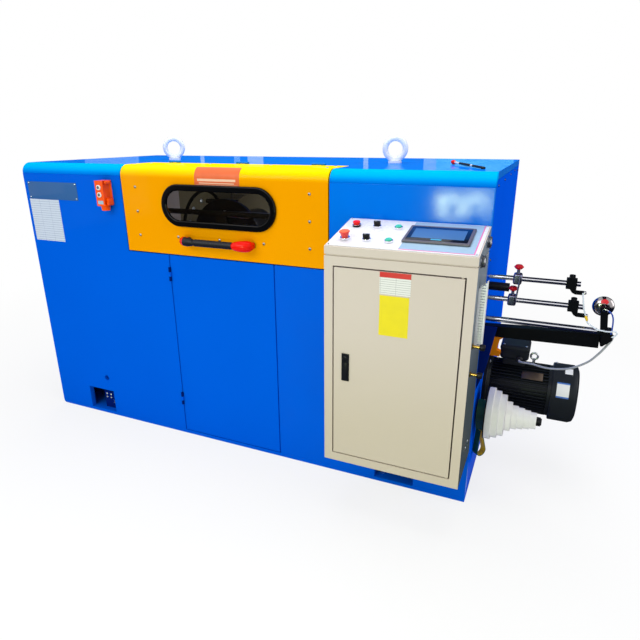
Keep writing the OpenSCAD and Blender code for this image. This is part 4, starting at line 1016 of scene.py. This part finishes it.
def looked_at(tree):
    """A socket that is 1 for camera, mirror and glass rays, and 0 for rays that carry light."""
    path = wired(tree, "LightPath").outputs
    last = path["Is Camera Ray"]
    for name in ("Is Glossy Ray", "Is Transmission Ray"):
        last = wired(tree, "Math", last, path[name], operation="MAXIMUM").outputs[0]
    return last


def stage_object(name, bm, finish, mirror_only=False):
    obj = put(name, mesh_of(name, bm, [finish]))
    if mirror_only:
        obj.visible_camera = obj.visible_diffuse = obj.visible_transmission = obj.visible_shadow = False


world = bpy.data.worlds.new("studio")
scene.world = world
world.use_nodes = True
tree = world.node_tree
fill = tree.nodes["Background"]
fill.inputs["Color"].default_value = rgba(0.95, 0.97, 1.0)
fill.inputs["Strength"].default_value = 0.42
seen = wired(tree, "Background")
seen.inputs["Color"].default_value = rgba(1, 1, 1)
blend = wired(tree, "MixShader", looked_at(tree), fill.outputs[0], seen.outputs[0])
tree.links.new(blend.outputs[0], tree.nodes["World Output"].inputs["Surface"])

pale = Finish("pale_floor", "white_plate", Roughness=0.9, Specular_IOR_Level=0.1)
pale.set(Base_Color=pale.mix(pale.noise(2.0), rgba(0.9, 0.9, 0.9), rgba(0.88, 0.88, 0.885)))
tree = pale.tree
away = pale.calc("VectorMath", "LENGTH", pale.here(), output=1)
share = wired(tree, "Math", looked_at(tree), pale.ease(away, 1.6, 4.0, 0.8, 1.0).socket, operation="MULTIPLY")
glow = wired(tree, "Emission")
both = wired(tree, "MixShader", share.outputs[0], pale.shader.outputs[0], glow.outputs[0])
tree.links.new(both.outputs[0], tree.nodes["Material Output"].inputs["Surface"])
bm = bmesh.new()
bmesh.ops.create_grid(bm, x_segments=2, y_segments=2, size=14)
bmesh.ops.translate(bm, verts=bm.verts, vec=(0, 0, -0.0006))
stage_object("floor", bm, pale)
print("world and floor made")

# %% [markdown]
# ## Flags
# Gloss shows what it mirrors, and in a white room it mirrors only white. Studios stand dark cards, called flags, beside
# the work. Here dark and tinted flags stand in a row behind the machine, two lie on the floor, two stand far in front
# and one hangs over the rods. Only mirror rays see them, so they cast no shadow and stay out of the picture, but the
# top covers now show bright strips on dark blue, as glossy enamel does, and the rods show one bright line.

# %% Flags
def card(name, slot, colour, other):
    f = Finish(name, slot, Roughness=0.9, Specular_IOR_Level=0.0)
    f.set(Base_Color=f.mix(f.noise(1.5), rgba(*colour), rgba(*other)))
    return f


dark = card("flag_card", "black_plastic", (0.03, 0.05, 0.09), (0.05, 0.07, 0.11))
half = card("half_flag_card", "white_plate", (0.5, 0.66, 0.8), (0.7, 0.85, 0.95))
deep = card("black_flag_card", "black_plastic", (0.004, 0.006, 0.02), (0.008, 0.01, 0.03))
cyan = card("cyan_flag_card", "white_plate", (0.2, 0.78, 0.8), (0.34, 0.95, 0.95))
BEHIND = (
    (dark, -9.0, -4.43), (dark, -3.52, -2.6), (dark, -2.53, -2.12), (dark, -2.04, -1.95), (dark, -1.735, -0.55),
    (dark, -0.49, 0.09), (dark, 0.94, 6.0), (half, -4.43, -3.52), (half, -2.12, -2.04), (half, 0.09, 0.215),
    (cyan, 0.215, 0.94))
flags = [(sheet, (left, 3.0, 0.0), (right, 3.02, 5.0)) for sheet, left, right in BEHIND]
flags += [(dark, (-6.0, -7.0, 0.0002), (1.16, -0.53, 0.0004)), (deep, (1.17, -7.0, 0.0002), (6.0, 3.0, 0.0004)),
          (dark, (-6.0, -7.02, 0.0), (0.55, -7.0, 2.4)), (deep, (0.55, -7.02, 0.0), (8.0, -7.0, 1.5)),
          (deep, (0.7, -4.0, 5.0), (2.7, 3.0, 5.02))]
for k, (sheet, low, high) in enumerate(flags):
    bm = bmesh.new()
    block(bm, low, high)
    stage_object("flag_%d" % k, bm, sheet, mirror_only=True)
print(len(flags), "flags stand round the machine")

# %% [markdown]
# ## Lamps
# An area lamp is a bright sheet: the larger it is, the softer its shadow. One small lamp makes the pale patch on the
# right panel, and a weak one inside the chamber lets the eye see in through the window.

# %% Lamps
def lamp(name, place, aim, size, power, tint=(1, 1, 1)):
    data = bpy.data.lights.new(name, "AREA")
    data.shape = "RECTANGLE"
    data.size, data.size_y = size
    data.energy = power
    data.color = tint
    obj = put(name, data)
    obj.location = place
    obj.rotation_euler = (Vector(aim) - Vector(place)).to_track_quat("-Z", "Y").to_euler()
    obj.visible_camera = False
    return obj


lamp("front_soft", (-1.2, -5.0, 3.6), (0.1, -0.3, 0.6), (4.0, 2.4), 104)
lamp("top_soft", (0.2, 0.2, 4.2), (0.0, 0.0, 0.8), (4.5, 2.5), 142).visible_glossy = False
lamp("side_soft", (4.3, 0.2, 1.7), (1.15, 0.0, 0.8), (2.0, 2.0), 30)
lamp("panel_glint", (0.591, -3.5, 0.862), (1.045, -0.515, 1.232), (0.46, 0.24), 15, (0.95, 1.22, 0.6))
lamp("chamber_soft", (0.3, -0.1, 1.21), (-0.3, 0.1, 1.0), (0.2, 0.2), 1.5)
print("studio lit")
